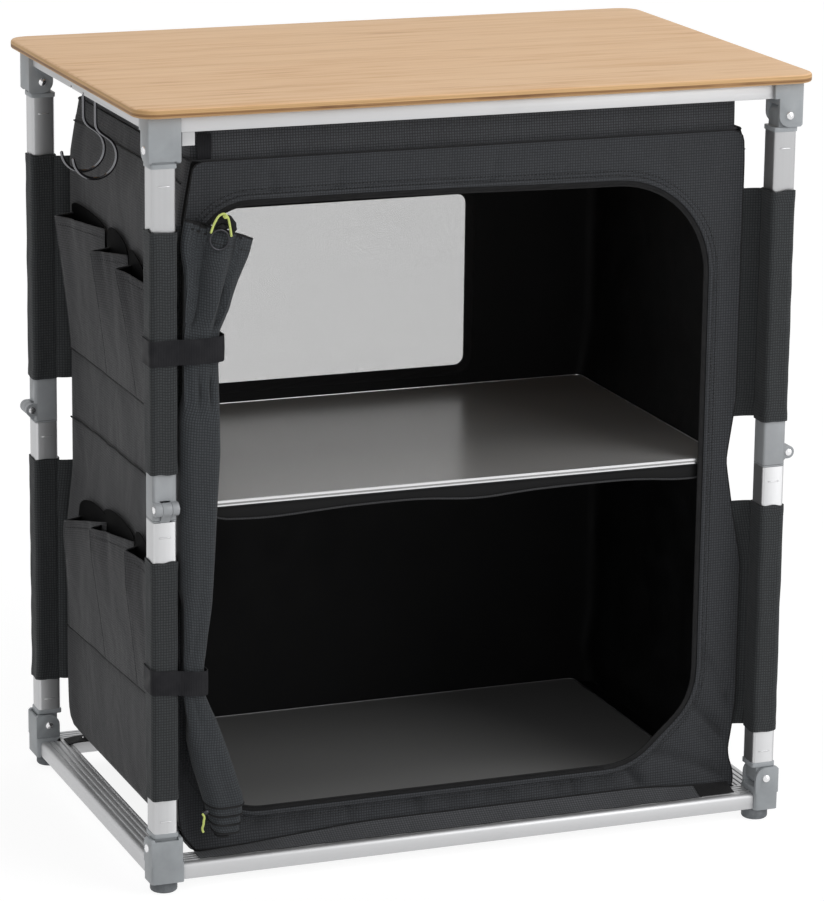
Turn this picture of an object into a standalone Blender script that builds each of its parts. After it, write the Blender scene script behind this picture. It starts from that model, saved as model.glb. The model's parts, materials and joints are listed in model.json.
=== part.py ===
"""A folding camp storage unit: bamboo top, aluminium frame on four folding legs, textile cupboard."""

import math

import bmesh
import bpy
from mathutils import Matrix, Vector

for old in list(bpy.data.objects):
    bpy.data.objects.remove(old, do_unlink=True)

# Driving dimensions, in metres. Each corner has its own frame: u points outward along the
# direction away from the leg's fold, v is a quarter turn to the left of u, z is up.
TOP_SIZE = (0.700, 0.450)
TOP_Z = 0.7675
BOARD = 0.009
TOP_CORNER = 0.022
LEG_X = TOP_SIZE[0] / 2 - 0.0288
LEG_Y = TOP_SIZE[1] / 2 - 0.0240
TUBE = 0.012
TUBE_ROUND = 0.003
TUBE_WALL = 0.0015
PLAY = 0.0003
PIN_R = 0.003
PIVOT_U = 0.002
LOW_PIVOT_Z = 0.046
HIGH_PIVOT_Z = TOP_Z - 0.0325
KNEE_U = 0.0155
KNEE_Z = (LOW_PIVOT_Z + HIGH_PIVOT_Z) / 2
COLLAR = 0.013
COLLAR_NEAR = 0.012
COLLAR_FAR = 0.0165
TONGUE_V = 0.0115
TONGUE_R = 0.010
CLEVIS_V = (0.012, 0.016)
CLEVIS_R = 0.0115
BRACKET_U = 0.016
LOW_BLOCK_U = -0.0095
LOW_BLOCK_V = 0.018
HIGH_BLOCK_U = -0.0145
LOW_FLOOR_Z = LOW_PIVOT_Z - TONGUE_R - PLAY
HIGH_CEILING_Z = HIGH_PIVOT_Z + TONGUE_R + PLAY
LOW_RAIL_Z = (0.012, 0.029)
LOW_RAIL_V = (-0.012, 0.018)
HIGH_RAIL_Z = (TOP_Z - 0.0155, TOP_Z - PLAY)
HIGH_RAIL_V = (-0.012, 0.012)
FOOT_R = 0.0135
FOOT_IN = 0.0017
SPLIT_Z = KNEE_Z - 0.012
KNEE_TOP_Z = KNEE_Z + 0.037
SLEEVE = 0.0139
SLEEVE_WALL = 0.0015
LOW_SLEEVE_Z = (0.0965, KNEE_Z - 0.0535)
HIGH_SLEEVE_Z = (KNEE_Z + 0.033, HIGH_PIVOT_Z - 0.076)

# The cupboard: at each height, how far its left and right walls stand inside the leg's axis.
CASE_WALL = 0.002
CASE_HALF_Y = LEG_Y - 0.0145
CASE_TOP_Z = TOP_Z - 0.0495
CASE_INSETS = (
    (0.0293, 0.0182, 0.0182),
    (0.0450, 0.0162, 0.0162),
    (0.2730, 0.0172, 0.0172),
    (0.3300, 0.0237, 0.0282),
    (0.3800, 0.0237, 0.0367),
    (0.4450, 0.0237, 0.0272),
    (CASE_TOP_Z - 0.0580, 0.0237, 0.0272),
    (CASE_TOP_Z - 0.0320, 0.0280, 0.0272),
    (CASE_TOP_Z - 0.0120, 0.0316, 0.0280),
    (CASE_TOP_Z - 0.0040, 0.0334, 0.0302),
    (CASE_TOP_Z, 0.0344, 0.0340),
)
CASE_LEVELS = tuple((z, LEG_X - left, LEG_X - right) for z, left, right in CASE_INSETS)
HEADER = (LEG_X - 0.0352, LEG_Y - 0.0230)
HEADER_Z = HIGH_RAIL_Z[0] - 0.0005
FLOOR_Z = 0.0313
SHELF = (LEG_X - 0.0412, LEG_Y - 0.0180)
SHELF_Z = (0.378, 0.384)
SHELF_EDGE = 0.009
FLOOR_SHELF_Z = (0.0316, 0.0366)
SLING_Z = (SHELF_Z[0] - 0.0023, SHELF_Z[0] - 0.0003)
OPENING_X = (-LEG_X + 0.0340, LEG_X - 0.0662)
OPENING_Z = (0.064, CASE_TOP_Z - 0.046)
OPENING_R = (0.075, 0.100)
WINDOW_X = (-LEG_X + 0.1762, LEG_X - 0.1767)
WINDOW_Z = (0.403, CASE_TOP_Z - 0.125)
WINDOW_R = 0.012
WINDOW_RIM = 0.010
NET_CORD = 0.0022
NET_GAPS = (15, 10)

# The hooks hang on a rod behind the left top rail.
HOOK_ROD = (-LEG_X - 0.0024, HIGH_RAIL_Z[0] + 0.0038)
HOOK_WIRE = 0.0015
HOOK_EYE = 0.0031
HOOK_Y = (0.048, 0.007)
RING_CENTRE = (HOOK_ROD[0] + 0.0021, HOOK_ROD[1] - 0.0653)
RING_R = 0.0222
HOOK_NECK = ((0.0, 0.0405), (0.0, 0.0310), (0.0012, 0.0275), (0.0038, 0.0240), (0.0072, 0.0213))
LUG = (0.0180, 0.0307, 0.0130)

# The rolled door: height, left edge and right edge inward from the leg's axis, half depth.
DOOR_Y = -LEG_Y - 0.0050
DOOR_LEVELS = (
    (0.0520, 0.0482, 0.0882, 0.0090),
    (0.0600, 0.0440, 0.0852, 0.0115),
    (0.0900, 0.0372, 0.0790, 0.0135),
    (0.1270, 0.0282, 0.0705, 0.0145),
    (0.1700, 0.0190, 0.0560, 0.0140),
    (0.1990, 0.0167, 0.0430, 0.0130),
    (0.2030, 0.0167, 0.0412, 0.0130),
    (0.2285, 0.0167, 0.0412, 0.0130),
    (0.2450, 0.0167, 0.0440, 0.0140),
    (0.2925, 0.0167, 0.0497, 0.0150),
    (0.4400, 0.0167, 0.0587, 0.0150),
    (0.5275, 0.0167, 0.0592, 0.0135),
    (0.5575, 0.0167, 0.0602, 0.0135),
    (0.5800, 0.0172, 0.0692, 0.0140),
    (0.6150, 0.0182, 0.0802, 0.0130),
    (0.6400, 0.0202, 0.0882, 0.0110),
    (0.6560, 0.0222, 0.0922, 0.0090),
)
DOOR_SLANT = 0.010
STRAP = 0.0014
STRAP_BACK = 0.0142
STRAP_END = 0.0250
STRAP_UPPER = ((0.5305, 0.5550), 0.0610)
STRAP_LOWER = ((0.2035, 0.2280), 0.0420)

# Side pockets: height, bulge, number of pockets; then the row's reach along the wall.
POCKETS_UPPER = ((0.4655, 0.590), 0.024, 3)
POCKETS_LOWER = ((0.163, 0.285), 0.020, 2)
POCKETS_Y = (-0.090, 0.180)
POCKET_CLOTH = 0.0018

PULL_LOOP = (0.0085, 0.0125)
PULL_CORD = 0.0016
PULL_UPPER = (-LEG_X + 0.0547, DOOR_Y - 0.0122, 0.6570)
PULL_LOWER = (-LEG_X + 0.0522, DOOR_Y - 0.0141, 0.0640)

CORNERS = {
    "front_right": (LEG_X, -LEG_Y, 0),
    "rear_right": (LEG_X, LEG_Y, 90),
    "rear_left": (-LEG_X, LEG_Y, 180),
    "front_left": (-LEG_X, -LEG_Y, 270),
}
RAIL_SIDE = {
    "front_right": ("front", 2 * LEG_X),
    "rear_right": ("right", 2 * LEG_Y),
    "rear_left": ("rear", 2 * LEG_X),
    "front_left": ("left", 2 * LEG_Y),
}

PALETTE = {
    "bamboo": ((0.62, 0.42, 0.24), 0.45, 0.0),
    "aluminium": ((0.62, 0.63, 0.65), 0.35, 0.9),
    "grey_plastic": ((0.20, 0.22, 0.26), 0.5, 0.0),
    "rubber": ((0.10, 0.11, 0.12), 0.8, 0.0),
    "ripstop": ((0.035, 0.037, 0.042), 0.9, 0.0),
    "net": ((0.02, 0.02, 0.022), 0.9, 0.0),
    "webbing": ((0.015, 0.015, 0.017), 0.85, 0.0),
    "shelf_grey": ((0.42, 0.43, 0.45), 0.4, 0.0),
    "chrome": ((0.75, 0.75, 0.77), 0.12, 1.0),
    "pull_green": ((0.62, 0.72, 0.08), 0.5, 0.0),
}


def material(name, kind):
    colour, rough, metal = PALETTE[kind]
    made = bpy.data.materials.new(name)
    made.use_nodes = True
    shader = made.node_tree.nodes["Principled BSDF"]
    shader.inputs["Base Color"].default_value = (*colour, 1.0)
    shader.inputs["Roughness"].default_value = rough
    shader.inputs["Metallic"].default_value = metal
    made.diffuse_color = (*colour, 1.0)
    return made


def from_bmesh(shape):
    bmesh.ops.recalc_face_normals(shape, faces=shape.faces)
    mesh = bpy.data.meshes.new("shape")
    shape.to_mesh(mesh)
    shape.free()
    made = bpy.data.objects.new("shape", mesh)
    bpy.context.scene.collection.objects.link(made)
    return made


def prism(points, low, high, axis="z"):
    """A closed outline, as (a, b) pairs, pushed from low to high along the axis."""
    place = {
        "z": lambda a, b, t: (a, b, t),
        "y": lambda a, b, t: (a, t, b),
        "x": lambda a, b, t: (t, a, b),
    }[axis]
    shape = bmesh.new()
    under = [shape.verts.new(place(a, b, low)) for a, b in points]
    over = [shape.verts.new(place(a, b, high)) for a, b in points]
    count = len(points)
    shape.faces.new(under)
    shape.faces.new(over)
    for i in range(count):
        j = (i + 1) % count
        shape.faces.new((under[i], under[j], over[j], over[i]))
    return from_bmesh(shape)


def box(u, v, z):
    return prism([(u[0], v[0]), (u[1], v[0]), (u[1], v[1]), (u[0], v[1])], z[0], z[1])


def arc(centre, radius, start, end, steps):
    """Points on a circle from start to end, in degrees."""
    found = []
    for i in range(steps + 1):
        turn = math.radians(start + (end - start) * i / steps)
        found.append((centre[0] + radius * math.cos(turn), centre[1] + radius * math.sin(turn)))
    return found


def rounded(a, b, radius, steps=3):
    """A rounded rectangle over the ranges a and b."""
    found = []
    found += arc((a[1] - radius, b[0] + radius), radius, -90, 0, steps)
    found += arc((a[1] - radius, b[1] - radius), radius, 0, 90, steps)
    found += arc((a[0] + radius, b[1] - radius), radius, 90, 180, steps)
    found += arc((a[0] + radius, b[0] + radius), radius, 180, 270, steps)
    return found


def disc(centre, radius, low, high, axis, steps=20):
    points = arc(centre, radius, 0, 360, steps)[:-1]
    return prism(points, low, high, axis)


def loft(rings):
    """A closed body through rings of equal count, each a list of 3-D points."""
    shape = bmesh.new()
    rows = [[shape.verts.new(p) for p in ring] for ring in rings]
    count = len(rows[0])
    shape.faces.new(rows[0])
    shape.faces.new(rows[-1])
    for lower, upper in zip(rows, rows[1:]):
        for i in range(count):
            j = (i + 1) % count
            shape.faces.new((lower[i], lower[j], upper[j], upper[i]))
    return from_bmesh(shape)


def wire(path, radius, sides=8, closed=False):
    """A round wire along 3-D points, in a plane of constant y."""
    points = [Vector(p) for p in path]
    count = len(points)
    rings = []
    for i, point in enumerate(points):
        before = points[i - 1] if closed or i else point
        after = points[(i + 1) % count] if closed or i < count - 1 else point
        along = (after - before).normalized()
        side = Vector((0, 1, 0))
        up = along.cross(side)
        ring = []
        for k in range(sides):
            turn = 2 * math.pi * k / sides
            ring.append(point + radius * (math.cos(turn) * side + math.sin(turn) * up))
        rings.append(ring)
    if not closed:
        return loft(rings)
    shape = bmesh.new()
    rows = [[shape.verts.new(p) for p in ring] for ring in rings]
    for i in range(count):
        lower, upper = rows[i], rows[(i + 1) % count]
        for k in range(sides):
            n = (k + 1) % sides
            shape.faces.new((lower[k], lower[n], upper[n], upper[k]))
    return from_bmesh(shape)


def combine(base, other, operation):
    """The exact Boolean of base with other, kept in base."""
    step = base.modifiers.new("step", "BOOLEAN")
    step.operation = operation
    step.solver = "EXACT"
    step.object = other
    bpy.context.view_layer.update()
    seen = base.evaluated_get(bpy.context.evaluated_depsgraph_get())
    mesh = bpy.data.meshes.new_from_object(seen)
    base.modifiers.clear()
    spent = base.data
    base.data = mesh
    bpy.data.meshes.remove(spent)
    bpy.data.objects.remove(other, do_unlink=True)
    return base


def union(base, *others):
    for other in others:
        combine(base, other, "UNION")
    return base


def cut(base, *others):
    for other in others:
        combine(base, other, "DIFFERENCE")
    return base


def finish(made, name, kind, corner=None, origin=None):
    """Names the body, turns it into its corner's place and sets its origin on the joint axis."""
    if corner:
        x, y, turn = CORNERS[corner]
        move = Matrix.Translation((x, y, 0)) @ Matrix.Rotation(math.radians(turn), 4, "Z")
        made.data.transform(move)
        if origin:
            origin = move @ Vector(origin)
    if origin:
        made.data.transform(Matrix.Translation(-Vector(origin)))
        made.location = origin
    made.name = name
    made.data.name = name
    made.data.materials.clear()
    made.data.materials.append(material(name + "_finish", kind))
    return made


def table_top():
    half = (TOP_SIZE[0] / 2, TOP_SIZE[1] / 2)
    rings = []
    top = TOP_Z + BOARD
    for inset, z in ((0.0018, TOP_Z), (0, TOP_Z + 0.002), (0, top - 0.0025), (0.0022, top)):
        across = (-half[0] + inset, half[0] - inset)
        deep = (-half[1] + inset, half[1] - inset)
        ring = rounded(across, deep, TOP_CORNER - inset, 6)
        rings.append([(x, y, z) for x, y in ring])
    finish(loft(rings), "table_top", "bamboo")


def rail_profile(v, z, grooves):
    """The outline of a rail, rounded outside, with grooves along the top of the bottom rails."""
    points = []
    points += arc((v[0] + 0.004, z[1] - 0.004), 0.004, 180, 90, 3)
    for i in range(grooves):
        at = v[0] + 0.0075 + 0.006 * i
        points += [(at, z[1]), (at, z[1] - 0.001), (at + 0.002, z[1] - 0.001), (at + 0.002, z[1])]
    points += [(v[1], z[1]), (v[1], z[0])]
    points += arc((v[0] + 0.003, z[0] + 0.003), 0.003, 270, 180, 2)
    return points


def low_rail(corner):
    side, span = RAIL_SIDE[corner]
    reach = (-(span - LOW_BLOCK_V - PLAY), LOW_BLOCK_U - PLAY)
    rail = prism(rail_profile(LOW_RAIL_V, LOW_RAIL_Z, 4), reach[0], reach[1], "x")
    hollow = box((reach[0] - 0.01, reach[1] + 0.01), (-0.0098, 0.0158), (0.0142, 0.0258))
    finish(cut(rail, hollow), "bottom_rail_" + side, "aluminium", corner)


def high_rail(corner):
    side, span = RAIL_SIDE[corner]
    reach = (-(span - CLEVIS_V[1] - PLAY), HIGH_BLOCK_U - PLAY)
    v, z = HIGH_RAIL_V, HIGH_RAIL_Z
    outline = [(v[0], z[0])]
    outline += arc((v[0] + 0.002, z[1] - 0.002), 0.002, 180, 90, 2)
    outline += [(v[1], z[1]), (v[1], z[0]), (v[1] - 0.0015, z[0]), (v[1] - 0.0015, z[1] - 0.0015)]
    outline += [(v[0] + 0.0015, z[1] - 0.0015), (v[0] + 0.0015, z[0])]
    rail = prism(outline, reach[0], reach[1], "x")
    if side == "front":
        across = (LUG[0] - 2 * LEG_X, LUG[1] - 2 * LEG_X)
        union(rail, box(across, (v[0] + 0.0005, v[0] + 0.006), (z[0] - LUG[2], z[0] + 0.0009)))
    if side == "left":
        for y in HOOK_Y:
            along = (-(y + LEG_Y) - 0.0023, -(y + LEG_Y) + 0.0023)
            cut(rail, box(along, (v[0] - 0.002, v[0] + 0.0025), (z[0] - 0.001, z[0] + 0.0027)))
    finish(rail, "top_rail_" + side, "aluminium", corner)


def clevis_outline(pivot_z, floor_z, way):
    """The side wall's outline, rounded about the pivot on the side the collar passes."""
    pivot = (PIVOT_U, pivot_z)
    start, end = (180, 90) if way > 0 else (180, 270)
    points = arc(pivot, CLEVIS_R, start, end, 6)
    far = pivot_z + way * CLEVIS_R
    points += [(BRACKET_U - 0.002, far), (BRACKET_U, far - way * 0.002)]
    points += [(BRACKET_U, floor_z), (LOW_BLOCK_U, floor_z)]
    return points


def pinned(bracket, z):
    union(bracket, disc((PIVOT_U, z), PIN_R, -CLEVIS_V[1], CLEVIS_V[1], "y", 16))
    for way in (-1, 1):
        near, far = sorted((way * (CLEVIS_V[1] - 0.001), way * (CLEVIS_V[1] + 0.0011)))
        union(bracket, disc((PIVOT_U, z), 0.004, near, far, "y", 16))
    return bracket


def low_bracket(corner):
    low, floor = LOW_RAIL_Z[0], LOW_FLOOR_Z
    plan = rounded((LOW_BLOCK_U, BRACKET_U), (-CLEVIS_V[1], LOW_BLOCK_V), 0.003, 2)
    plan[6:9] = [(LOW_BLOCK_U, LOW_BLOCK_V)]
    body = prism(plan, low, 0.0325)
    union(body, box((LOW_BLOCK_U, BRACKET_U), (-CLEVIS_V[1], CLEVIS_V[1]), (0.030, floor)))
    outline = clevis_outline(LOW_PIVOT_Z, floor - 0.002, 1)
    union(body, prism(outline, CLEVIS_V[0], CLEVIS_V[1], "y"))
    union(body, prism(outline, -CLEVIS_V[1], -CLEVIS_V[0], "y"))
    top = LOW_PIVOT_Z + CLEVIS_R
    union(body, box((0.013, BRACKET_U), (-0.0122, 0.0122), (floor - 0.002, top - 0.002)))
    union(body, box((LOW_BLOCK_U - 0.011, LOW_BLOCK_U + 0.002), (-0.0092, 0.0152), (0.0148, 0.0252)))
    union(body, box((-0.0092, 0.0092), (LOW_BLOCK_V - 0.002, LOW_BLOCK_V + 0.011), (0.0148, 0.0252)))
    pinned(body, LOW_PIVOT_Z)
    cut(body, disc((-FOOT_IN, FOOT_IN), 0.0043, low - 0.002, low + 0.0085, "z", 16))
    finish(body, "bottom_bracket_" + corner, "grey_plastic", corner)


def high_bracket(corner):
    low, top = HIGH_RAIL_Z
    ceiling = HIGH_CEILING_Z
    lip = HIGH_PIVOT_Z - CLEVIS_R + 0.002
    inside = (low + 0.0012, top - 0.002)
    body = box((HIGH_BLOCK_U, BRACKET_U), (-CLEVIS_V[1], CLEVIS_V[1]), (low, top))
    union(body, box((LOW_BLOCK_U, BRACKET_U), (-CLEVIS_V[1], CLEVIS_V[1]), (ceiling, low + 0.002)))
    outline = clevis_outline(HIGH_PIVOT_Z, ceiling + 0.002, -1)
    union(body, prism(outline, CLEVIS_V[0], CLEVIS_V[1], "y"))
    union(body, prism(outline, -CLEVIS_V[1], -CLEVIS_V[0], "y"))
    union(body, box((0.013, BRACKET_U), (-0.0122, 0.0122), (lip, ceiling + 0.002)))
    union(body, box((HIGH_BLOCK_U - 0.009, HIGH_BLOCK_U + 0.002), (-0.0098, 0.0098), inside))
    union(body, box((-0.0098, 0.0098), (CLEVIS_V[1] - 0.002, CLEVIS_V[1] + 0.009), inside))
    pinned(body, HIGH_PIVOT_Z)
    if corner == "front_left":
        cut(body, disc((-0.0024, HOOK_ROD[1]), 0.0016, HIGH_BLOCK_U - 0.010, HIGH_BLOCK_U + 0.004, "x", 12))
    if corner == "rear_left":
        cut(body, disc((0.0024, HOOK_ROD[1]), 0.0016, CLEVIS_V[1] - 0.004, CLEVIS_V[1] + 0.010, "y", 12))
    finish(body, "top_bracket_" + corner, "grey_plastic", corner)


def foot(corner):
    centre = (-FOOT_IN, FOOT_IN)
    rings = []
    for radius, z in ((FOOT_R - 0.0015, 0.0), (FOOT_R, 0.0015), (FOOT_R, 0.0117)):
        rings.append([(x, y, z) for x, y in arc(centre, radius, 0, 360, 24)[:-1]])
    body = loft(rings)
    union(body, disc(centre, 0.004, 0.010, 0.0195, "z", 16))
    finish(body, "foot_" + corner, "rubber", corner)


def tongue(pivot_z, way):
    """The end plug's tongue and collar, with the pin's hole through it."""
    pivot = (PIVOT_U, pivot_z)
    near = pivot_z + way * COLLAR_NEAR
    outline = arc(pivot, TONGUE_R, 180, 360, 10) if way > 0 else arc(pivot, TONGUE_R, 0, 180, 10)
    edge = near + way * 0.002
    outline += [(outline[-1][0], edge), (outline[0][0], edge)]
    body = prism(outline, -TONGUE_V, TONGUE_V, "y")
    ends = sorted((near, pivot_z + way * COLLAR_FAR))
    union(body, prism(rounded((-COLLAR, COLLAR), (-COLLAR, COLLAR), 0.003, 2), ends[0], ends[1]))
    return cut(body, disc(pivot, PIN_R + PLAY, -0.02, 0.02, "y", 16))


def tube(low, high, plug_low, plug_high):
    body = prism(rounded((-TUBE, TUBE), (-TUBE, TUBE), TUBE_ROUND, 3), low, high)
    inner = TUBE - TUBE_WALL
    return cut(body, box((-inner, inner), (-inner, inner), (low + plug_low, high - plug_high)))


def leg_lower(corner):
    start = LOW_PIVOT_Z + COLLAR_FAR - 0.001
    body = tube(start, SPLIT_Z - 0.0021, 0.012, -0.01)
    union(body, tongue(LOW_PIVOT_Z, 1))
    finish(body, "leg_lower_" + corner, "aluminium", corner, (PIVOT_U, 0, LOW_PIVOT_Z))


def leg_upper(corner):
    end = HIGH_PIVOT_Z - COLLAR_FAR + 0.001
    body = tube(KNEE_TOP_Z + PLAY, end, -0.01, 0.012)
    union(body, tongue(HIGH_PIVOT_Z, -1))
    finish(body, "leg_upper_" + corner, "aluminium", corner, (KNEE_U, 0, KNEE_Z))


def knee_upper(corner):
    axis = (KNEE_U, KNEE_Z)
    body = prism(rounded((-TUBE, TUBE), (-TUBE, TUBE), TUBE_ROUND, 3), SPLIT_Z + 0.00015, KNEE_TOP_Z)
    inner = TUBE - TUBE_WALL - PLAY
    union(body, box((-inner, inner), (-inner, inner), (KNEE_TOP_Z - 0.002, KNEE_TOP_Z + 0.028)))
    for way in (-1, 1):
        side = sorted((way * 0.005, way * 0.0118))
        union(body, disc(axis, 0.0065, side[0], side[1], "y", 20))
        union(body, box((0.008, KNEE_U), side, (KNEE_Z - 0.0065, KNEE_Z + 0.0065)))
        head = sorted((way * 0.0110, way * 0.0128))
        union(body, disc(axis, 0.0035, head[0], head[1], "y", 16))
    cut(body, box((0.002, 0.03), (-0.005, 0.005), (SPLIT_Z - 0.002, KNEE_Z + 0.0075)))
    union(body, disc(axis, PIN_R, -0.006, 0.006, "y", 16))
    finish(body, "knee_upper_" + corner, "grey_plastic", corner, (KNEE_U, 0, KNEE_Z))


def knee_lower(corner):
    axis = (KNEE_U, KNEE_Z)
    flange = (SPLIT_Z - 0.0018, SPLIT_Z - 0.0003)
    body = prism(rounded((-TUBE, TUBE), (-TUBE, TUBE), TUBE_ROUND, 3), flange[0], flange[1])
    inner = TUBE - TUBE_WALL - PLAY
    union(body, box((-inner, inner), (-inner, inner), (flange[0] - 0.030, flange[0] + 0.0005)))
    neck = [(0.0030, flange[0]), (0.0118, flange[0]), (KNEE_U + 0.003, KNEE_Z - 0.0055)]
    neck += [(KNEE_U, KNEE_Z + 0.005), (0.0070, KNEE_Z + 0.005), (0.0030, KNEE_Z)]
    union(body, prism(neck, -0.0047, 0.0047, "y"))
    union(body, disc(axis, 0.0065, -0.0047, 0.0047, "y", 20))
    cut(body, disc(axis, PIN_R + PLAY, -0.01, 0.01, "y", 16))
    finish(body, "knee_lower_" + corner, "grey_plastic", corner, (PIVOT_U, 0, LOW_PIVOT_Z))


def sleeve(corner, name, z, origin):
    outer = rounded((-SLEEVE, SLEEVE), (-SLEEVE, SLEEVE), 0.0045, 3)
    inner = SLEEVE - SLEEVE_WALL
    body = prism(outer, z[0], z[1])
    cut(body, prism(rounded((-inner, inner), (-inner, inner), 0.0032, 3), z[0] - 0.01, z[1] + 0.01))
    finish(body, name + "_" + corner, "ripstop", corner, origin)


def case_ring(z, sides, half_y, radius):
    """A rounded rectangle at this height; sides are the reaches to the left and to the right."""
    ring = rounded((-sides[0], sides[1]), (-half_y, half_y), radius, 3)
    return [(x, y, z) for x, y in ring]


def sides_at(z, inward=0.0):
    """How far the left and right walls stand from the middle at this height."""
    for (z0, *lower), (z1, *upper) in zip(CASE_LEVELS, CASE_LEVELS[1:]):
        if z0 <= z <= z1:
            share = (z - z0) / (z1 - z0)
            return [a + (b - a) * share - inward for a, b in zip(lower, upper)]
    return [a - inward for a in CASE_LEVELS[-1][1:]]


def case_levels(low, high):
    middle = [level[0] for level in CASE_LEVELS if low < level[0] < high]
    return [low, *middle, high]


def cavity(low, high):
    """The room inside the walls between two heights."""
    deep = CASE_HALF_Y - CASE_WALL
    return loft([case_ring(z, sides_at(z, CASE_WALL), deep, 0.010) for z in case_levels(low, high)])


def opening_outline():
    """The door opening, with wider corners on the right."""
    (left, right), (low, high), (near, far) = OPENING_X, OPENING_Z, OPENING_R
    found = arc((right - far, low + far), far, -90, 0, 8)
    found += arc((right - far, high - far), far, 0, 90, 8)
    found += arc((left + near, high - near), near, 90, 180, 8)
    found += arc((left + near, low + near), near, 180, 270, 8)
    return found


def fabric_case():
    wall = CASE_WALL
    top = CASE_LEVELS[-1][0]
    header = (HEADER[0], HEADER[0])
    mouth = (HEADER[0] - wall, HEADER[0] - wall)
    outer = [case_ring(z, sides, CASE_HALF_Y, 0.012) for z, *sides in CASE_LEVELS]
    outer.append(case_ring(top + 0.0002, header, HEADER[1], 0.010))
    outer.append(case_ring(HEADER_Z, header, HEADER[1], 0.010))
    body = loft(outer)
    cut(body, cavity(FLOOR_Z, SLING_Z[0]), cavity(SLING_Z[1], top - wall))
    cut(body, loft([case_ring(z, mouth, HEADER[1] - wall, 0.008) for z in (top - 0.004, HEADER_Z + 0.01)]))
    cut(body, prism(opening_outline(), -CASE_HALF_Y - 0.01, -CASE_HALF_Y + wall + 0.001, "y"))
    window = rounded(WINDOW_X, WINDOW_Z, WINDOW_R, 3)
    cut(body, prism(window, CASE_HALF_Y - 0.010, CASE_HALF_Y + 0.01, "y"))
    finish(body, "fabric_case", "ripstop")


def mesh_window():
    """A flat net with a hem, let into the rear wall."""
    gap, rim, cord = PLAY, WINDOW_RIM, NET_CORD
    x = (WINDOW_X[0] + gap, WINDOW_X[1] - gap)
    z = (WINDOW_Z[0] + gap, WINDOW_Z[1] - gap)
    body = prism(rounded(x, z, WINDOW_R - gap, 3), CASE_HALF_Y - wall_depth(), CASE_HALF_Y - 0.0003, "y")
    step_x = (x[1] - x[0] - 2 * rim + cord) / NET_GAPS[0]
    step_z = (z[1] - z[0] - 2 * rim + cord) / NET_GAPS[1]
    deep = (CASE_HALF_Y - 0.04, CASE_HALF_Y + 0.04)
    shape = bmesh.new()
    for i in range(NET_GAPS[0]):
        for j in range(NET_GAPS[1]):
            a = x[0] + rim + i * step_x
            b = z[0] + rim + j * step_z
            add_block(shape, (a, a + step_x - cord), deep, (b, b + step_z - cord))
    cut(body, from_bmesh(shape))
    finish(body, "mesh_window", "net")


def wall_depth():
    return CASE_WALL - 0.0003


def add_block(shape, x, y, z):
    corner = [shape.verts.new((a, b, c)) for c in z for b in y for a in x]
    for face in ((0, 1, 3, 2), (4, 6, 7, 5), (0, 4, 5, 1), (2, 3, 7, 6), (0, 2, 6, 4), (1, 5, 7, 3)):
        shape.faces.new([corner[i] for i in face])


def shelf(name, z, origin=None):
    rings = []
    for inset, height in ((0.0008, z[0]), (0, z[0] + 0.0008), (0, z[1] - 0.0008), (0.0008, z[1])):
        half = (SHELF[0] - inset, SHELF[1] - inset)
        rings.append(case_ring(height, (half[0], half[0]), half[1], 0.008))
    body = loft(rings)
    reach = (SHELF[0] - SHELF_EDGE, SHELF[1] - SHELF_EDGE)
    inside = rounded((-reach[0], reach[0]), (-reach[1], reach[1]), 0.003, 2)
    cut(body, prism(inside, z[1] - 0.0005, z[1] + 0.01))
    finish(body, name, "shelf_grey", None, origin)


def rolled_door():
    """The door panel as a soft roll, its top cut on a slant."""
    rings = []
    for z, left, right, deep in DOOR_LEVELS:
        middle, half = -LEG_X + (left + right) / 2, (right - left) / 2
        slant = DOOR_SLANT if z == DOOR_LEVELS[-1][0] else 0
        ring = []
        for i in range(18):
            turn = 2 * math.pi * i / 18
            a = math.copysign(abs(math.cos(turn)) ** 0.8, math.cos(turn))
            b = math.copysign(abs(math.sin(turn)) ** 0.8, math.sin(turn))
            ring.append((middle + half * a, DOOR_Y + deep * b, z - slant * a))
        rings.append(ring)
    finish(loft(rings), "rolled_door", "ripstop")


def band(path, thick):
    """The outline of a strap of this thickness on the left of an open path."""
    left = []
    for i, point in enumerate(path):
        here = Vector(point)
        ways = []
        if i:
            ways.append((here - Vector(path[i - 1])).normalized())
        if i < len(path) - 1:
            ways.append((Vector(path[i + 1]) - here).normalized())
        along = sum(ways, Vector((0, 0))).normalized()
        side = Vector((-along.y, along.x))
        reach = thick / max(0.5, side.dot(Vector((-ways[0].y, ways[0].x))))
        left.append(tuple(here + side * reach))
    return list(path) + left[::-1]


def tie_strap(name, z, inset):
    """A strap from the wall's corner round the leg's sleeve and the roll, ending behind the roll."""
    left, right, back = -LEG_X - STRAP_BACK, -LEG_X + inset, -LEG_Y + STRAP_BACK
    front = -LEG_Y - STRAP_BACK
    path = [(-LEG_X + 0.0148, back), (left, back), (left, front), (-LEG_X + 0.0132, front)]
    path += [(-LEG_X + 0.0227, DOOR_Y - 0.0136), (right - 0.006, DOOR_Y - 0.0138), (right, DOOR_Y - 0.0085)]
    path += [(right, DOOR_Y + 0.0100), (right - 0.006, DOOR_Y + 0.0155)]
    path += [(-LEG_X + STRAP_END, DOOR_Y + 0.0155)]
    finish(prism(band(path, -STRAP), z[0], z[1]), name, "webbing")


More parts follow.
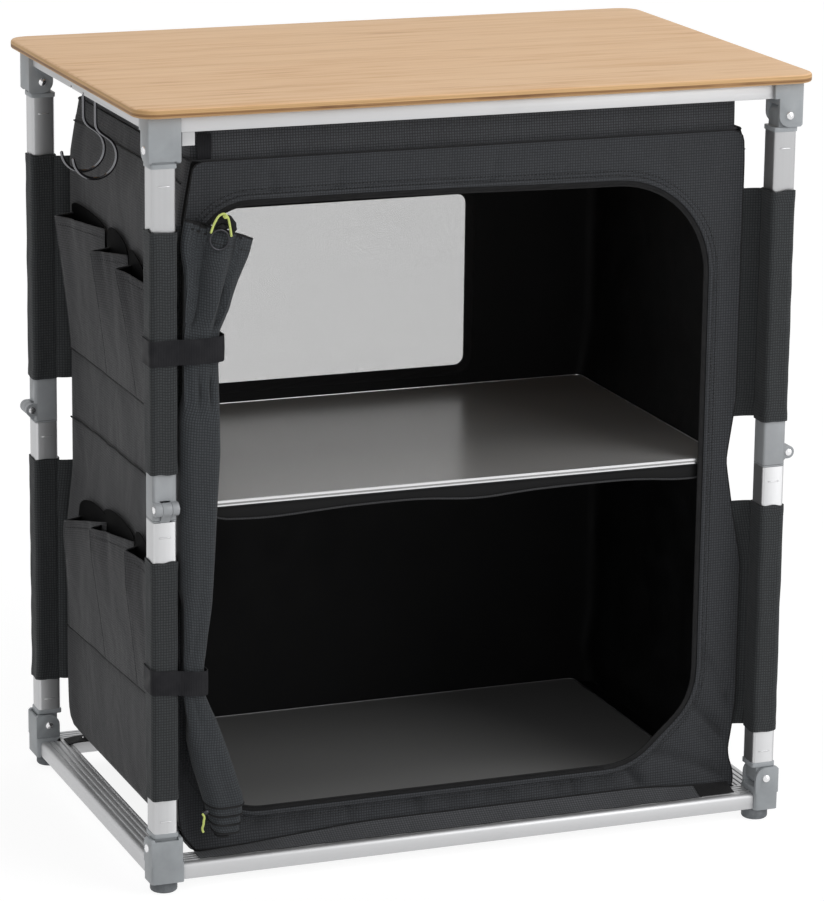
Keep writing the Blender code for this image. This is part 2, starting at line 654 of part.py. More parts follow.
def side_pockets(name, z, bulge, cells):
    """A row of pockets on the left wall, open at the top, one body."""
    back = -sides_at(z[0])[0] - PLAY - (0.0002 if z[0] < SPLIT_Z else 0)
    front = back - bulge
    outline = [(back, z[0]), (back, z[1]), (front, z[1] - 0.006), (front - 0.002, z[0] + 0.045)]
    outline += [(back - 0.006, z[0] + 0.004), (back - 0.002, z[0])]
    body = prism(outline, POCKETS_Y[0], POCKETS_Y[1], "y")
    wide = (POCKETS_Y[1] - POCKETS_Y[0]) / cells
    for i in range(cells):
        low, high = POCKETS_Y[0] + wide * i + 0.003, POCKETS_Y[0] + wide * (i + 1) - 0.003
        inner = [(back - POCKET_CLOTH, z[0] + 0.010), (back - POCKET_CLOTH, z[1] + 0.01)]
        inner += [(front + POCKET_CLOTH, z[1] + 0.01), (front + POCKET_CLOTH, z[1] - 0.02)]
        inner += [(front + 0.0005, z[0] + 0.048), (back - 0.005, z[0] + 0.010)]
        cut(body, prism(inner, low, high, "y"))
    finish(body, name, "ripstop")


def hook_rod():
    x, z = HOOK_ROD
    body = prism(arc((x, z), 0.0013, 0, 360, 12)[:-1], -LEG_Y + 0.0175, LEG_Y - 0.0188, "y")
    finish(body, "hook_rod", "aluminium")


def side_hook(name, y):
    """A wire hook: an eye round the rod, a stem and an open ring, all in one plane."""
    x, z = HOOK_ROD
    eye = wire([(a, y, b) for a, b in arc((x, z), HOOK_EYE, 0, 360, 18)[:-1]], HOOK_WIRE, 8, True)
    stem = x + HOOK_EYE
    path = [(stem, z - 0.0012)]
    path += [(stem + out, RING_CENTRE[1] + up) for out, up in HOOK_NECK]
    path += arc(RING_CENTRE, RING_R, 57, -176, 22)
    body = wire([(a, y, b) for a, b in path], HOOK_WIRE, 8)
    union(body, eye)
    finish(body, name, "chrome", None, (x, y, z))


def zip_pull(name, place, tilt):
    """A slider with its cord loop, hanging in front of the roll."""
    x, y, z = place
    cosine, sine = math.cos(tilt), math.sin(tilt)
    shape = []
    for i in range(20):
        turn = 2 * math.pi * i / 20
        a, b = PULL_LOOP[0] * math.cos(turn), PULL_LOOP[1] * math.sin(turn)
        shape.append((x + a * cosine - b * sine, y, z + a * sine + b * cosine))
    body = wire(shape, PULL_CORD, 6, True)
    across, up = x - PULL_LOOP[1] * sine, z + PULL_LOOP[1] * cosine
    union(body, box((across - 0.004, across + 0.004), (y - 0.002, y + 0.002), (up - 0.002, up + 0.008)))
    finish(body, name, "pull_green")


def build():
    table_top()
    for corner in CORNERS:
        low_rail(corner)
        high_rail(corner)
        low_bracket(corner)
        high_bracket(corner)
        foot(corner)
        leg_lower(corner)
        leg_upper(corner)
        knee_lower(corner)
        knee_upper(corner)
        sleeve(corner, "sleeve_lower", LOW_SLEEVE_Z, (PIVOT_U, 0, LOW_PIVOT_Z))
        sleeve(corner, "sleeve_upper", HIGH_SLEEVE_Z, (KNEE_U, 0, KNEE_Z))
    fabric_case()
    mesh_window()
    shelf("shelf_middle", SHELF_Z, (0, 0, SHELF_Z[0]))
    shelf("shelf_bottom", FLOOR_SHELF_Z)
    rolled_door()
    tie_strap("tie_strap_upper", *STRAP_UPPER)
    tie_strap("tie_strap_lower", *STRAP_LOWER)
    side_pockets("side_pockets_upper", *POCKETS_UPPER)
    side_pockets("side_pockets_lower", *POCKETS_LOWER)
    hook_rod()
    side_hook("side_hook_rear", HOOK_Y[0])
    side_hook("side_hook_front", HOOK_Y[1])
    zip_pull("zip_pull_upper", PULL_UPPER, 0.25)
    zip_pull("zip_pull_lower", PULL_LOWER, 1.2)


build()
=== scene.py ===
"""The looks of the folding camp storage unit: every finish, the cloth, the net, the cords, light and camera."""

import json
import math

import bmesh
import bpy
from mathutils import Matrix, Vector, noise


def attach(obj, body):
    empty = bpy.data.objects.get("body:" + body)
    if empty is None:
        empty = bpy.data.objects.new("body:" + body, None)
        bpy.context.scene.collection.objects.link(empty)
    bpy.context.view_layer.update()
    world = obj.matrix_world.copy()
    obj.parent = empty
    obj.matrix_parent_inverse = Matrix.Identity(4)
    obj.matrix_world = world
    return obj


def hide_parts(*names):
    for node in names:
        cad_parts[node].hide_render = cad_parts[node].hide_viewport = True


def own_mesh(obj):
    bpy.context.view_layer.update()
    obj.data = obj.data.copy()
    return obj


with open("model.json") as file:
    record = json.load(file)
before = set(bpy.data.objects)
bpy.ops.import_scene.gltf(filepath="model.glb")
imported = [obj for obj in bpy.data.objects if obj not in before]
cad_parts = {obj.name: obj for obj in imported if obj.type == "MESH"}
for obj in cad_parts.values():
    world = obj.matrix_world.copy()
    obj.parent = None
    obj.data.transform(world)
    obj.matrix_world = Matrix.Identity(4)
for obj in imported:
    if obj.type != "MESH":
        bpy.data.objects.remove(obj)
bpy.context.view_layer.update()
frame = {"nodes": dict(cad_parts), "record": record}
NODES = frame["nodes"]
BODY_OF = {n: b for b, found in frame["record"]["behaviour"]["bodies"].items() for n in found}

# The part's own sizes, in metres.
TOP_HALF = (0.35, 0.225)
TOP_Z = (0.7675, 0.7765)
LEG_X, LEG_Y = 0.3212, 0.201
PIVOT_U, LOW_PIVOT_Z, HIGH_PIVOT_Z = 0.002, 0.046, 0.735
KNEE_U, KNEE_Z = 0.0155, 0.3905
COLLAR_FAR = 0.0165
SLEEVE = 0.0139
SLEEVES = (("lower", (0.0965, 0.337)), ("upper", (0.4235, 0.659)))
CASE_HALF_Y = 0.1865
CASE_ROUND = 0.012
FLOOR_Z = 0.0293
# Height, reach to the left, reach to the right.
CASE_LEVELS = (
    (FLOOR_Z, 0.283, 0.302), (0.039, 0.293, 0.305), (0.048, 0.3005, 0.3035), (0.058, 0.303, 0.2995),
    (0.07, 0.3042, 0.2966), (0.09, 0.3046, 0.2998), (0.12, 0.305, 0.304), (0.273, 0.304, 0.304),
    (0.33, 0.2975, 0.293), (0.38, 0.2975, 0.2845), (0.445, 0.2975, 0.294), (0.66, 0.2975, 0.294),
    (0.686, 0.2932, 0.294), (0.706, 0.2896, 0.2932), (0.714, 0.2878, 0.291), (0.718, 0.2868, 0.2872),
)
CASE_TOP_Z = 0.718
HEADER = (0.286, 0.178)
HEADER_Z = 0.7515
OPENING_X, OPENING_Z = (-0.2872, 0.255), (0.064, 0.674)
# Its corners' radii: lower left, upper left, right; and about its length, which sets its points.
OPENING_R, OPENING_ROUND = (0.075, 0.06, 0.1), 2.05
# Valleys of the front cloth: from (x, z) to (x, z), half width, depth.
FRONT_FOLDS = (
    (0.244, 0.132, 0.29, 0.084, 0.006, 0.004), (0.203, 0.083, 0.29, 0.043, 0.0058, 0.0042),
    (0.25, 0.185, 0.296, 0.122, 0.0065, 0.003), (0.172, 0.073, 0.196, 0.044, 0.005, 0.0034),
    (0.118, 0.066, 0.124, 0.042, 0.0042, 0.0024), (0.042, 0.065, 0.048, 0.044, 0.0042, 0.0018),
    (-0.05, 0.065, -0.044, 0.042, 0.0045, 0.002), (-0.124, 0.065, -0.12, 0.043, 0.0045, 0.0018),
    (0.259, 0.56, 0.288, 0.6, 0.006, 0.0016), (-0.14, 0.678, -0.135, 0.702, 0.0045, 0.0016),
    (-0.2, 0.676, -0.206, 0.7, 0.005, 0.0022), (0.02, 0.678, 0.026, 0.702, 0.0045, 0.0014),
)
WINDOW_X, WINDOW_Z = (-0.145, 0.1445), (0.403, 0.593)
SHELF = (0.28, 0.183)
SHELF_Z, FLOOR_SHELF_Z = (0.378, 0.384), (0.0316, 0.0366)
HOOK_ROD, HOOK_EYE, HOOK_WIRE = (-0.3236, 0.7558), 0.0031, 0.0017
HOOK_Y = {"side_hook_rear": 0.048, "side_hook_front": 0.007}
RING_CENTRE, RING_R = (-0.3215, 0.6905), 0.0222
DOOR_Y, DOOR_TURNS, DOOR_START = -0.206, 7.4, math.radians(85)
# Points of the roll in one turn.
DOOR_STEPS = 34
# Height, left, right, half the depth.
DOOR_LEVELS = (
    (0.052, -0.2778, -0.2368, 0.01), (0.06, -0.2792, -0.2372, 0.012), (0.09, -0.2816, -0.2392, 0.0135),
    (0.127, -0.293, -0.2507, 0.0145), (0.17, -0.3022, -0.2652, 0.014), (0.199, -0.3055, -0.2782, 0.013),
    (0.203, -0.3058, -0.28, 0.013), (0.2285, -0.3058, -0.28, 0.013), (0.245, -0.306, -0.2772, 0.014),
    (0.2925, -0.3062, -0.2715, 0.015), (0.44, -0.3062, -0.2625, 0.015), (0.5275, -0.3062, -0.2645, 0.0135),
    (0.5575, -0.306, -0.264, 0.0135), (0.58, -0.3058, -0.252, 0.014), (0.615, -0.305, -0.241, 0.013),
    (0.64, -0.303, -0.233, 0.011), (0.656, -0.3, -0.229, 0.009),
)
# Name, heights, right end, body of the part round the leg, rise towards the right.
STRAPS = (
    ("upper", (0.5305, 0.555), -0.2626, "upper_leg_front_left", 0.0012),
    ("lower", (0.2035, 0.228), -0.2792, "lower_leg_front_left", -0.0035),
)
CORD_RADIUS = 0.00115
STRAP_STEP = 0.0022
ANCHOR = (0.0, 0.0, FLOOR_Z)
# The share of a soft piece's height that is left at full fold.
KEEP, DOOR_KEEP, SLING_KEEP = 0.083, 0.073, 0.04
SOFT, DOOR_SOFT = ((0, 0, 1), ANCHOR, KEEP), ((0, 0, 1), ANCHOR, DOOR_KEEP)
CORNERS = {
    "front_right": (LEG_X, -LEG_Y, 0),
    "rear_right": (LEG_X, LEG_Y, 90),
    "rear_left": (-LEG_X, LEG_Y, 180),
    "front_left": (-LEG_X, -LEG_Y, 270),
}
# Stretches of a wall seen from above; its corners are 0, 2, 4 and 6.
LEFT, REAR, RIGHT = 1, 3, 5
# The thread's length and gap in the longer seams.
LONG_STITCH = (0.003, 0.0008)
TINY = 1e-6

# Small helpers.

def smooth(t):
    """A soft step from 0 to 1."""
    t = min(1.0, max(0.0, t))
    return t * t * (3 - 2 * t)


def bell(offset, width):
    """1 in the middle, falling off to both sides."""
    return math.exp(-(offset / width) ** 2)


def wave(a, b, c, size=1.0):
    """Smooth noise from -1 to 1."""
    return noise.noise(Vector((a / size, b / size, c)))


def swell(a, b, c, size=1.0):
    """The same noise from 0 to 1."""
    return 0.5 + 0.5 * wave(a, b, c, size)


def table_at(table, z):
    """A table's row for this height, read between its levels."""
    if z <= table[0][0]:
        return table[0][1:]
    for low, high in zip(table, table[1:]):
        if z <= high[0]:
            t = (z - low[0]) / (high[0] - low[0])
            return tuple(a + (b - a) * t for a, b in zip(low[1:], high[1:]))
    return table[-1][1:]


def sides_at(z):
    """The case's reach to the left and to the right, its corners in height rounded off."""
    heights = [min(CASE_TOP_Z, max(FLOOR_Z, z + d)) for d in (-0.006, -0.003, 0, 0.003, 0.006)]
    around = [table_at(CASE_LEVELS, height) for height in heights]
    return sum(a[0] for a in around) / 5, sum(a[1] for a in around) / 5


def side_at(z, side):
    """The case's reach on one side: -1 is the left, 1 the right."""
    return sides_at(z)[0 if side < 0 else 1]


def case_corner(z, sx, sy):
    """The rounded corner of the case at one height, as (x, y)."""
    return Vector((sx * (side_at(z, sx) - 0.003), sy * (CASE_HALF_Y - 0.0032)))


def shares(count):
    """Even shares of a way, from 0 to 1."""
    return [i / count for i in range(count + 1)]


def spread(low, high, step):
    """Even places from low to high, about a step apart."""
    count = max(1, round((high - low) / step))
    return [low + (high - low) * i / count for i in range(count + 1)]


def arc(centre, radius, start, end, steps):
    """Points along an arc; start and end are in degrees."""
    found = []
    for i in range(steps + 1):
        turn = math.radians(start + (end - start) * i / steps)
        found.append((centre[0] + radius * math.cos(turn), centre[1] + radius * math.sin(turn)))
    return found


def corner_arcs(corners, steps):
    """Quarter arcs joined into a ring, from (x, y, radius) of the lower right one on."""
    found = []
    for i, (x, y, radius) in enumerate(corners):
        found += arc((x, y), radius, 90 * i - 90, 90 * i, steps)
    return found


def rounded(a, b, radius, steps=6):
    """A rectangle's outline with round corners."""
    left, right, low, high = a[0] + radius, a[1] - radius, b[0] + radius, b[1] - radius
    return corner_arcs([(x, y, radius) for x, y in ((right, low), (right, high), (left, high), (left, low))], steps)


def slab(half, inset, radius, z, steps=6):
    """A rounded rectangle about the middle, at one height."""
    a, b = half[0] - inset, half[1] - inset
    return [(x, y, z) for x, y in rounded((-a, a), (-b, b), radius, steps)]


def resample(points, step=0.0, closed=False, count=0):
    """The same path with even steps, or cut into a number of even steps."""
    path = [Vector(p) for p in points]
    if closed:
        path.append(path[0])
    lengths = [0.0]
    for a, b in zip(path, path[1:]):
        lengths.append(lengths[-1] + (b - a).length)
    count = count or max(2, round(lengths[-1] / step))
    found, k = [], 0
    for i in range(count + (0 if closed else 1)):
        at = lengths[-1] * i / count
        while k < len(lengths) - 2 and lengths[k + 1] < at:
            k += 1
        t = (at - lengths[k]) / max(1e-9, lengths[k + 1] - lengths[k])
        found.append(path[k].lerp(path[k + 1], min(1.0, t)))
    return found


def relaxed(points, rounds):
    """The same path with its corners worn round; its ends stay."""
    path = [Vector(p) for p in points]
    for _ in range(rounds):
        worn = [b * 0.5 + (a + c) * 0.25 for a, b, c in zip(path, path[1:], path[2:])]
        path = [path[0], *worn, path[-1]]
    return path


def corner_place(corner):
    """A leg's own frame; its first axis lies along the way in which the leg folds."""
    x, y, turn = CORNERS[corner]
    return Matrix.Translation((x, y, 0)) @ Matrix.Rotation(math.radians(turn), 4, "Z")


def link(obj):
    bpy.context.scene.collection.objects.link(obj)
    return obj


def made(name, shape, mats):
    """A new object from a finished bmesh."""
    mesh = bpy.data.meshes.new(name)
    shape.to_mesh(mesh)
    shape.free()
    for mat in mats:
        mesh.materials.append(mat)
    return link(bpy.data.objects.new(name, mesh))


def modified(obj, kind, **values):
    """The object with a modifier of these values turned into mesh."""
    step = obj.modifiers.new(kind, kind)
    for key, value in values.items():
        setattr(step, key, value)
    bpy.context.view_layer.update()
    now = bpy.context.evaluated_depsgraph_get()
    mesh = bpy.data.meshes.new_from_object(obj.evaluated_get(now), preserve_all_data_layers=True, depsgraph=now)
    old = obj.data
    obj.modifiers.clear()
    obj.data = mesh
    bpy.data.meshes.remove(old)
    mesh.name = obj.name


def shade(obj, angle):
    """Smooth faces, with sharp edges over an angle."""
    obj.data.shade_smooth()
    obj.data.set_sharp_from_angle(angle=math.radians(angle))
    return obj


def closed_up(obj):
    """The mesh welded, its open rims filled and its faces turned outward."""
    shape = bmesh.new()
    shape.from_mesh(obj.data)
    bmesh.ops.remove_doubles(shape, verts=shape.verts, dist=TINY)
    bmesh.ops.holes_fill(shape, edges=[e for e in shape.edges if e.is_boundary], sides=0)
    bmesh.ops.recalc_face_normals(shape, faces=shape.faces)
    shape.to_mesh(obj.data)
    shape.free()
    return shade(obj, 30)


def place(obj, body, replaces=(), squash=None):
    """Puts the piece on its body and hides the CAD parts it stands for; a squashed piece gets a mesh of its own."""
    if replaces:
        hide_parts(*replaces)
    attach(obj, body)
    if squash:
        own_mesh(obj)


def cloth(obj, replaces=(), squash=SOFT):
    """Puts a soft piece on the bottom frame."""
    place(obj, "bottom_frame", replaces, squash)


def grid(name, rows, mats, uv=None, closed=False, skip=None, thick=0.0, offset=-1.0, flip=False, mat_of=None):
    """A piece through rows of points, with UVs in metres, made as thick as the cloth."""
    shape = bmesh.new()
    layer = shape.loops.layers.uv.new("UVMap")
    verts = [[shape.verts.new(p) for p in row] for row in rows]
    wide = len(rows[0])
    along, up = [[0.0] for _ in rows], [[0.0] for _ in rows[0]]
    for j in range(wide):
        for i, row in enumerate(rows):
            along[i].append(along[i][j] + (Vector(row[(j + 1) % wide]) - Vector(row[j])).length)
        for i in range(1, len(rows)):
            up[j].append(up[j][i - 1] + (Vector(rows[i][j]) - Vector(rows[i - 1][j])).length)
    for i in range(len(rows) - 1):
        for j in range(wide if closed else wide - 1):
            if skip and skip(i, j):
                continue
            n = (j + 1) % wide
            order = [(i, j, j), (i, n, j + 1), (i + 1, n, j + 1), (i + 1, j, j)]
            if flip:
                order.reverse()
            face = shape.faces.new([verts[a][b] for a, b, _ in order])
            face.material_index = mat_of(i, j) if mat_of else 0
            for loop, (a, b, c) in zip(face.loops, order):
                loop[layer].uv = uv(a, c) if uv else (along[a][c], up[b][a])
    obj = made(name, shape, mats)
    if thick:
        inner = 1 if len(mats) > 1 and not mat_of else 0
        modified(obj, "SOLIDIFY", thickness=thick, offset=offset, material_offset=inner, material_offset_rim=inner)
    return shade(obj, 50)


def tube(name, path, radius, mats, sides=8, closed=False):
    """A round cord along a path; radius is one size, or a list with one for each point."""
    points = [Vector(p) for p in path]
    count = len(points)
    shape = bmesh.new()
    layer = shape.loops.layers.uv.new("UVMap")
    ways = []
    for i, point in enumerate(points):
        before = points[i - 1] if closed or i else point
        after = points[(i + 1) % count] if closed or i < count - 1 else point
        ways.append((after - before).normalized())
    side = ways[0].orthogonal().normalized()
    rings, at, lengths = [], 0.0, []
    for i, (point, way) in enumerate(zip(points, ways)):
        side = (side - way * side.dot(way)).normalized()
        up = way.cross(side)
        size = radius[i] if isinstance(radius, (list, tuple)) else radius
        ring = []
        for k in range(sides):
            turn = 2 * math.pi * k / sides
            ring.append(shape.verts.new(point + size * (math.cos(turn) * side + math.sin(turn) * up)))
        rings.append(ring)
        lengths.append(at)
        if i < count - 1:
            at += (points[i + 1] - point).length
    for i in range(count if closed else count - 1):
        lower, upper = rings[i], rings[(i + 1) % count]
        high = lengths[i + 1] if i < count - 1 else at + (points[0] - points[-1]).length
        for k in range(sides):
            n = (k + 1) % sides
            face = shape.faces.new((lower[k], lower[n], upper[n], upper[k]))
            for loop, spot in zip(face.loops, ((k, lengths[i]), (k + 1, lengths[i]), (k + 1, high), (k, high))):
                loop[layer].uv = (spot[0] / sides * 2 * math.pi * 0.002, spot[1])
    if not closed:
        for ring, point, way in ((rings[0], points[0], -ways[0]), (rings[-1], points[-1], ways[-1])):
            tip = shape.verts.new(point + way * (ring[0].co - point).length * 0.7)
            for k in range(sides):
                shape.faces.new((ring[k], ring[(k + 1) % sides], tip))
    bmesh.ops.recalc_face_normals(shape, faces=shape.faces)
    return shade(made(name, shape, mats), 60)


def bulged(path, ends, more):
    """Sizes for a tube that is thicker in its middle."""
    return [ends + more * math.sin(math.pi * t) for t in shares(len(path) - 1)]


def stitches(name, path, out, mat, length=0.0026, gap=0.0012, width=0.00035, closed=False):
    """A row of thread stitches along a path; out gives the way they face at each point."""
    points = resample(path, length + gap, closed)
    shape = bmesh.new()
    count = len(points)
    for i in range(count if closed else count - 1):
        here, there = points[i], points[(i + 1) % count]
        way = (there - here).normalized()
        face = out(here) if callable(out) else Vector(out)
        side = way.cross(face).normalized()
        a, b = here + way * gap * 0.5, there - way * gap * 0.5
        mid = (a + b) / 2
        ring = [mid + side * width, mid + face * width * 1.4, mid - side * width, mid - face * width * 0.6]
        points_made = [shape.verts.new(p) for p in (a, b, *ring)]
        for k in range(4):
            n = 2 + (k + 1) % 4
            shape.faces.new((points_made[0], points_made[n], points_made[2 + k]))
            shape.faces.new((points_made[1], points_made[2 + k], points_made[n]))
    bmesh.ops.recalc_face_normals(shape, faces=shape.faces)
    obj = made(name, shape, [mat])
    obj.data.shade_smooth()
    return obj


def joined(name, pieces):
    """Several meshes as one piece."""
    shape = bmesh.new()
    mats = []
    for piece in pieces:
        mats += [mat for mat in piece.data.materials if mat not in mats]
        index = [mats.index(mat) for mat in piece.data.materials]
        first = len(shape.faces)
        shape.from_mesh(piece.data)
        shape.faces.ensure_lookup_table()
        for face in shape.faces[first:]:
            face.material_index = index[face.material_index]
        bpy.data.objects.remove(piece, do_unlink=True)
    return made(name, shape, mats)


# Materials: each is a small net of nodes on one Principled shader.

def toned(colour, share):
    """A colour made darker or paler."""
    return tuple(c * share for c in colour)


class Net:
    """A tree of shader nodes, with short ways to add to it."""

    def __init__(self, tree):
        self.tree = tree

    def feed(self, socket, value):
        """Links a socket to another one, or gives it a value."""
        if hasattr(value, "links"):
            self.tree.links.new(value, socket)
        else:
            socket.default_value = value

    def node(self, kind, inputs=(), **values):
        new = self.tree.nodes.new("ShaderNode" + kind)
        for key, value in values.items():
            setattr(new, key, value)
        for key, value in dict(inputs).items():
            self.feed(new.inputs[key], value)
        return new

    def at(self, kind):
        return self.node("TexCoord").outputs[kind]

    def part(self, vector):
        return self.node("SeparateXYZ", {0: vector}).outputs

    def calc(self, way, a, b=0.0):
        return self.node("Math", {0: a, 1: b}, operation=way).outputs[0]

    def scaled(self, vector, x, y, z):
        return self.node("Mapping", {"Vector": vector, "Scale": (x, y, z)}).outputs[0]

    def noise(self, vector, scale, detail=3.0, rough=0.55, warp=0.0):
        inputs = {"Vector": vector, "Scale": scale, "Detail": detail, "Roughness": rough, "Distortion": warp}
        return self.node("TexNoise", inputs).outputs["Fac"]

    def span(self, value, low, high, to_low=0.0, to_high=1.0):
        inputs = {"Value": value, "From Min": low, "From Max": high, "To Min": to_low, "To Max": to_high}
        return self.node("MapRange", inputs, interpolation_type="SMOOTHSTEP").outputs[0]

    def mix(self, share, a, b):
        a, b = ((*c, 1.0) if isinstance(c, tuple) else c for c in (a, b))
        return self.node("Mix", {0: share, 6: a, 7: b}, data_type="RGBA").outputs[2]

    def lines(self, value, pitch, width):
        """1 on the middle of each line, 0 between the lines."""
        return self.span(self.calc("PINGPONG", value, pitch / 2), 0.0, width, 1.0, 0.0)

    def bump(self, height, strength, depth, under=None):
        inputs = {"Height": height, "Strength": strength, "Distance": depth}
        if under is not None:
            inputs["Normal"] = under
        return self.node("Bump", inputs).outputs[0]

    def sharpness(self, low, high, to_low=0.0, to_high=1.0):
        """A value that follows how far the surface stands out."""
        return self.span(self.node("NewGeometry").outputs["Pointiness"], low, high, to_low, to_high)

    def worn(self, share):
        """The share on edges that stand out."""
        return self.calc("MULTIPLY", self.sharpness(0.52, 0.6), share)

    def looked_at(self):
        """1 for what the camera sees, straight, in a mirror or through glass."""
        path = self.node("LightPath").outputs
        straight = self.calc("MAXIMUM", path["Is Camera Ray"], path["Is Glossy Ray"])
        return self.calc("MAXIMUM", straight, path["Is Transmission Ray"])


class Finish(Net):
    """A Principled material in the making."""

    def __init__(self, name, rough=0.5, metal=0.0, spec=0.5, sheen=0.0):
        self.mat = bpy.data.materials.new(name)
        self.mat.use_nodes = True
        super().__init__(self.mat.node_tree)
        self.put(Roughness=rough, Metallic=metal, Specular_IOR_Level=spec, Sheen_Weight=sheen, Sheen_Roughness=0.45)

    def put(self, **values):
        for name, value in values.items():
            self.feed(self.tree.nodes["Principled BSDF"].inputs[name.replace("_", " ")], value)
        return self.mat


def cloth_finish(name, colour, sheen, crease_shade=0.0):
    """Ripstop: a fine weave crossed by a grid of darker, thicker threads; the last argument paints shade into its
    valleys.
    """
    pitch, rough = 0.0027, 0.82
    f = Finish(name, rough=rough, spec=0.28, sheen=sheen)
    uv = f.at("UV")
    u, v, _ = f.part(uv)
    net = f.calc("MAXIMUM", f.lines(u, pitch, 0.00078), f.lines(v, pitch, 0.00078))
    weave = f.calc("MULTIPLY", f.lines(u, 0.00055, 0.00028), f.lines(v, 0.00055, 0.00028))
    broad = f.noise(uv, 14.0)
    speck = f.noise(uv, 420.0, 2.0)
    dark = toned(colour, 0.3)
    base = f.mix(f.span(broad, 0.25, 0.75), toned(colour, 1.1), toned(colour, 1.48))
    base = f.mix(f.span(speck, 0.4, 0.66, 0.0, 0.45), base, toned(colour, 1.95))
    base = f.mix(f.calc("MULTIPLY", net, 0.85), base, dark)
    base = f.mix(f.calc("MULTIPLY", weave, 0.22), base, dark)
    # Painted shade: the cloth is darkened where the surface dips into folds and creases.
    if crease_shade:
        base = f.mix(f.sharpness(0.462, 0.497, crease_shade, 0.0), base, dark)
    fine = f.bump(f.calc("ADD", net, f.calc("MULTIPLY", weave, 0.5)), 0.45, 0.0004)
    ripple = f.bump(f.noise(uv, 60.0, 2.0), 0.18, 0.004, fine)
    folds = f.bump(f.noise(f.scaled(uv, 1.0, 0.6, 1.0), 21.0, 2.0, 0.5, 0.6), 0.3, 0.012, ripple)
    return f.put(Base_Color=base, Normal=folds,
                 Roughness=f.span(broad, 0.2, 0.8, rough - 0.06, min(1.0, rough + 0.06)))


def lining_finish(name, spec, tone):
    """Thin black lining with a faint square weave."""
    f = Finish(name, rough=0.6, spec=spec)
    uv = f.at("UV")
    u, v, _ = f.part(uv)
    weave = f.calc("MAXIMUM", f.lines(u, 0.0009, 0.0003), f.lines(v, 0.0009, 0.0003))
    cloud = f.noise(uv, 22.0, 4.0)
    low, high = toned((0.0035, 0.0035, 0.0038), tone), toned((0.0065, 0.0066, 0.007), tone)
    return f.put(Base_Color=f.mix(f.span(cloud, 0.3, 0.75), low, high),
                 Roughness=f.span(cloud, 0.2, 0.8, 0.55, 0.75),
                 Normal=f.bump(f.calc("ADD", weave, cloud), 0.2, 0.0005))


def webbing_finish(name, colour):
    """Woven tape: ribs across, a finer edge along."""
    f = Finish(name, rough=0.72, spec=0.2, sheen=0.04)
    uv = f.at("UV")
    u, v, _ = f.part(uv)
    ribs = f.lines(u, 0.0016, 0.0007)
    fine = f.lines(v, 0.0011, 0.0005)
    threads = f.calc("MULTIPLY", f.calc("ADD", ribs, fine), 0.45)
    return f.put(Base_Color=f.mix(threads, colour, toned(colour, 1.9)),
                 Roughness=f.span(f.noise(uv, 60.0), 0.3, 0.7, 0.62, 0.82),
                 Normal=f.bump(f.calc("ADD", ribs, f.calc("MULTIPLY", fine, 0.6)), 0.5, 0.0004))


def aluminium_finish(name, axis, tone, rough):
    """Anodised extrusion: fine drawn lines along its length, a little cloudy."""
    f = Finish(name, rough=rough, metal=0.92)
    where = f.at("Object")
    scale = [3 if way == axis else 900 for way in "xyz"]
    drawn = f.noise(f.scaled(where, *scale), 1.0, 2.0)
    cloud = f.noise(where, 18.0)
    base = f.mix(f.span(drawn, 0.3, 0.7), toned((0.965, 0.97, 0.985), tone), toned((1, 1.005, 1.02), tone))
    base = f.mix(f.span(cloud, 0.55, 0.8, 0.0, 0.15), base, toned((0.8, 0.8, 0.81), tone))
    base = f.mix(f.worn(0.35), base, (0.8, 0.8, 0.81))
    lines = f.span(drawn, 0.2, 0.8, rough - 0.05, rough + 0.05)
    return f.put(Base_Color=base, Roughness=f.calc("ADD", lines, f.span(cloud, 0.3, 0.8, 0.0, 0.05)),
                 Normal=f.bump(drawn, 0.03, 0.0002))


def plastic_finish(name, colour):
    """Moulded nylon: spark-eroded grain, faint flow clouds, paler edges."""
    rough = 0.46
    f = Finish(name, rough=rough, spec=0.45)
    where = f.at("Object")
    cloud = f.noise(where, 45.0)
    base = f.mix(f.span(cloud, 0.3, 0.7), toned(colour, 0.92), toned(colour, 1.07))
    base = f.mix(f.worn(0.5), base, tuple(min(1, c) for c in toned(colour, 1.45)))
    return f.put(Base_Color=base, Roughness=f.span(cloud, 0.3, 0.7, rough - 0.05, rough + 0.06),
                 Normal=f.bump(f.noise(where, 1500.0, 2.0), 0.18, 0.0003))


def metal_finish(name, colour, rough):
    """Bright metal with fine scratches."""
    f = Finish(name, rough=rough, metal=1.0)
    where = f.at("Object")
    fine = f.noise(where, 700.0)
    cloud = f.noise(where, 90.0, 2.0)
    return f.put(Base_Color=f.mix(f.span(cloud, 0.3, 0.7), toned(colour, 0.9), colour),
                 Roughness=f.span(fine, 0.3, 0.7, max(0.03, rough - 0.04), rough + 0.06),
                 Normal=f.bump(fine, 0.06, 0.0002))


def rubber_finish():
    """Matte rubber with dust on it."""
    f = Finish("foot_rubber", rough=0.7, spec=0.3)
    where = f.at("Object")
    dust = f.noise(where, 120.0)
    return f.put(Base_Color=f.mix(f.span(dust, 0.35, 0.75), (0.13, 0.14, 0.15), (0.2, 0.21, 0.22)),
                 Roughness=f.span(dust, 0.3, 0.7, 0.62, 0.85),
                 Normal=f.bump(f.noise(where, 900.0), 0.25, 0.0004))


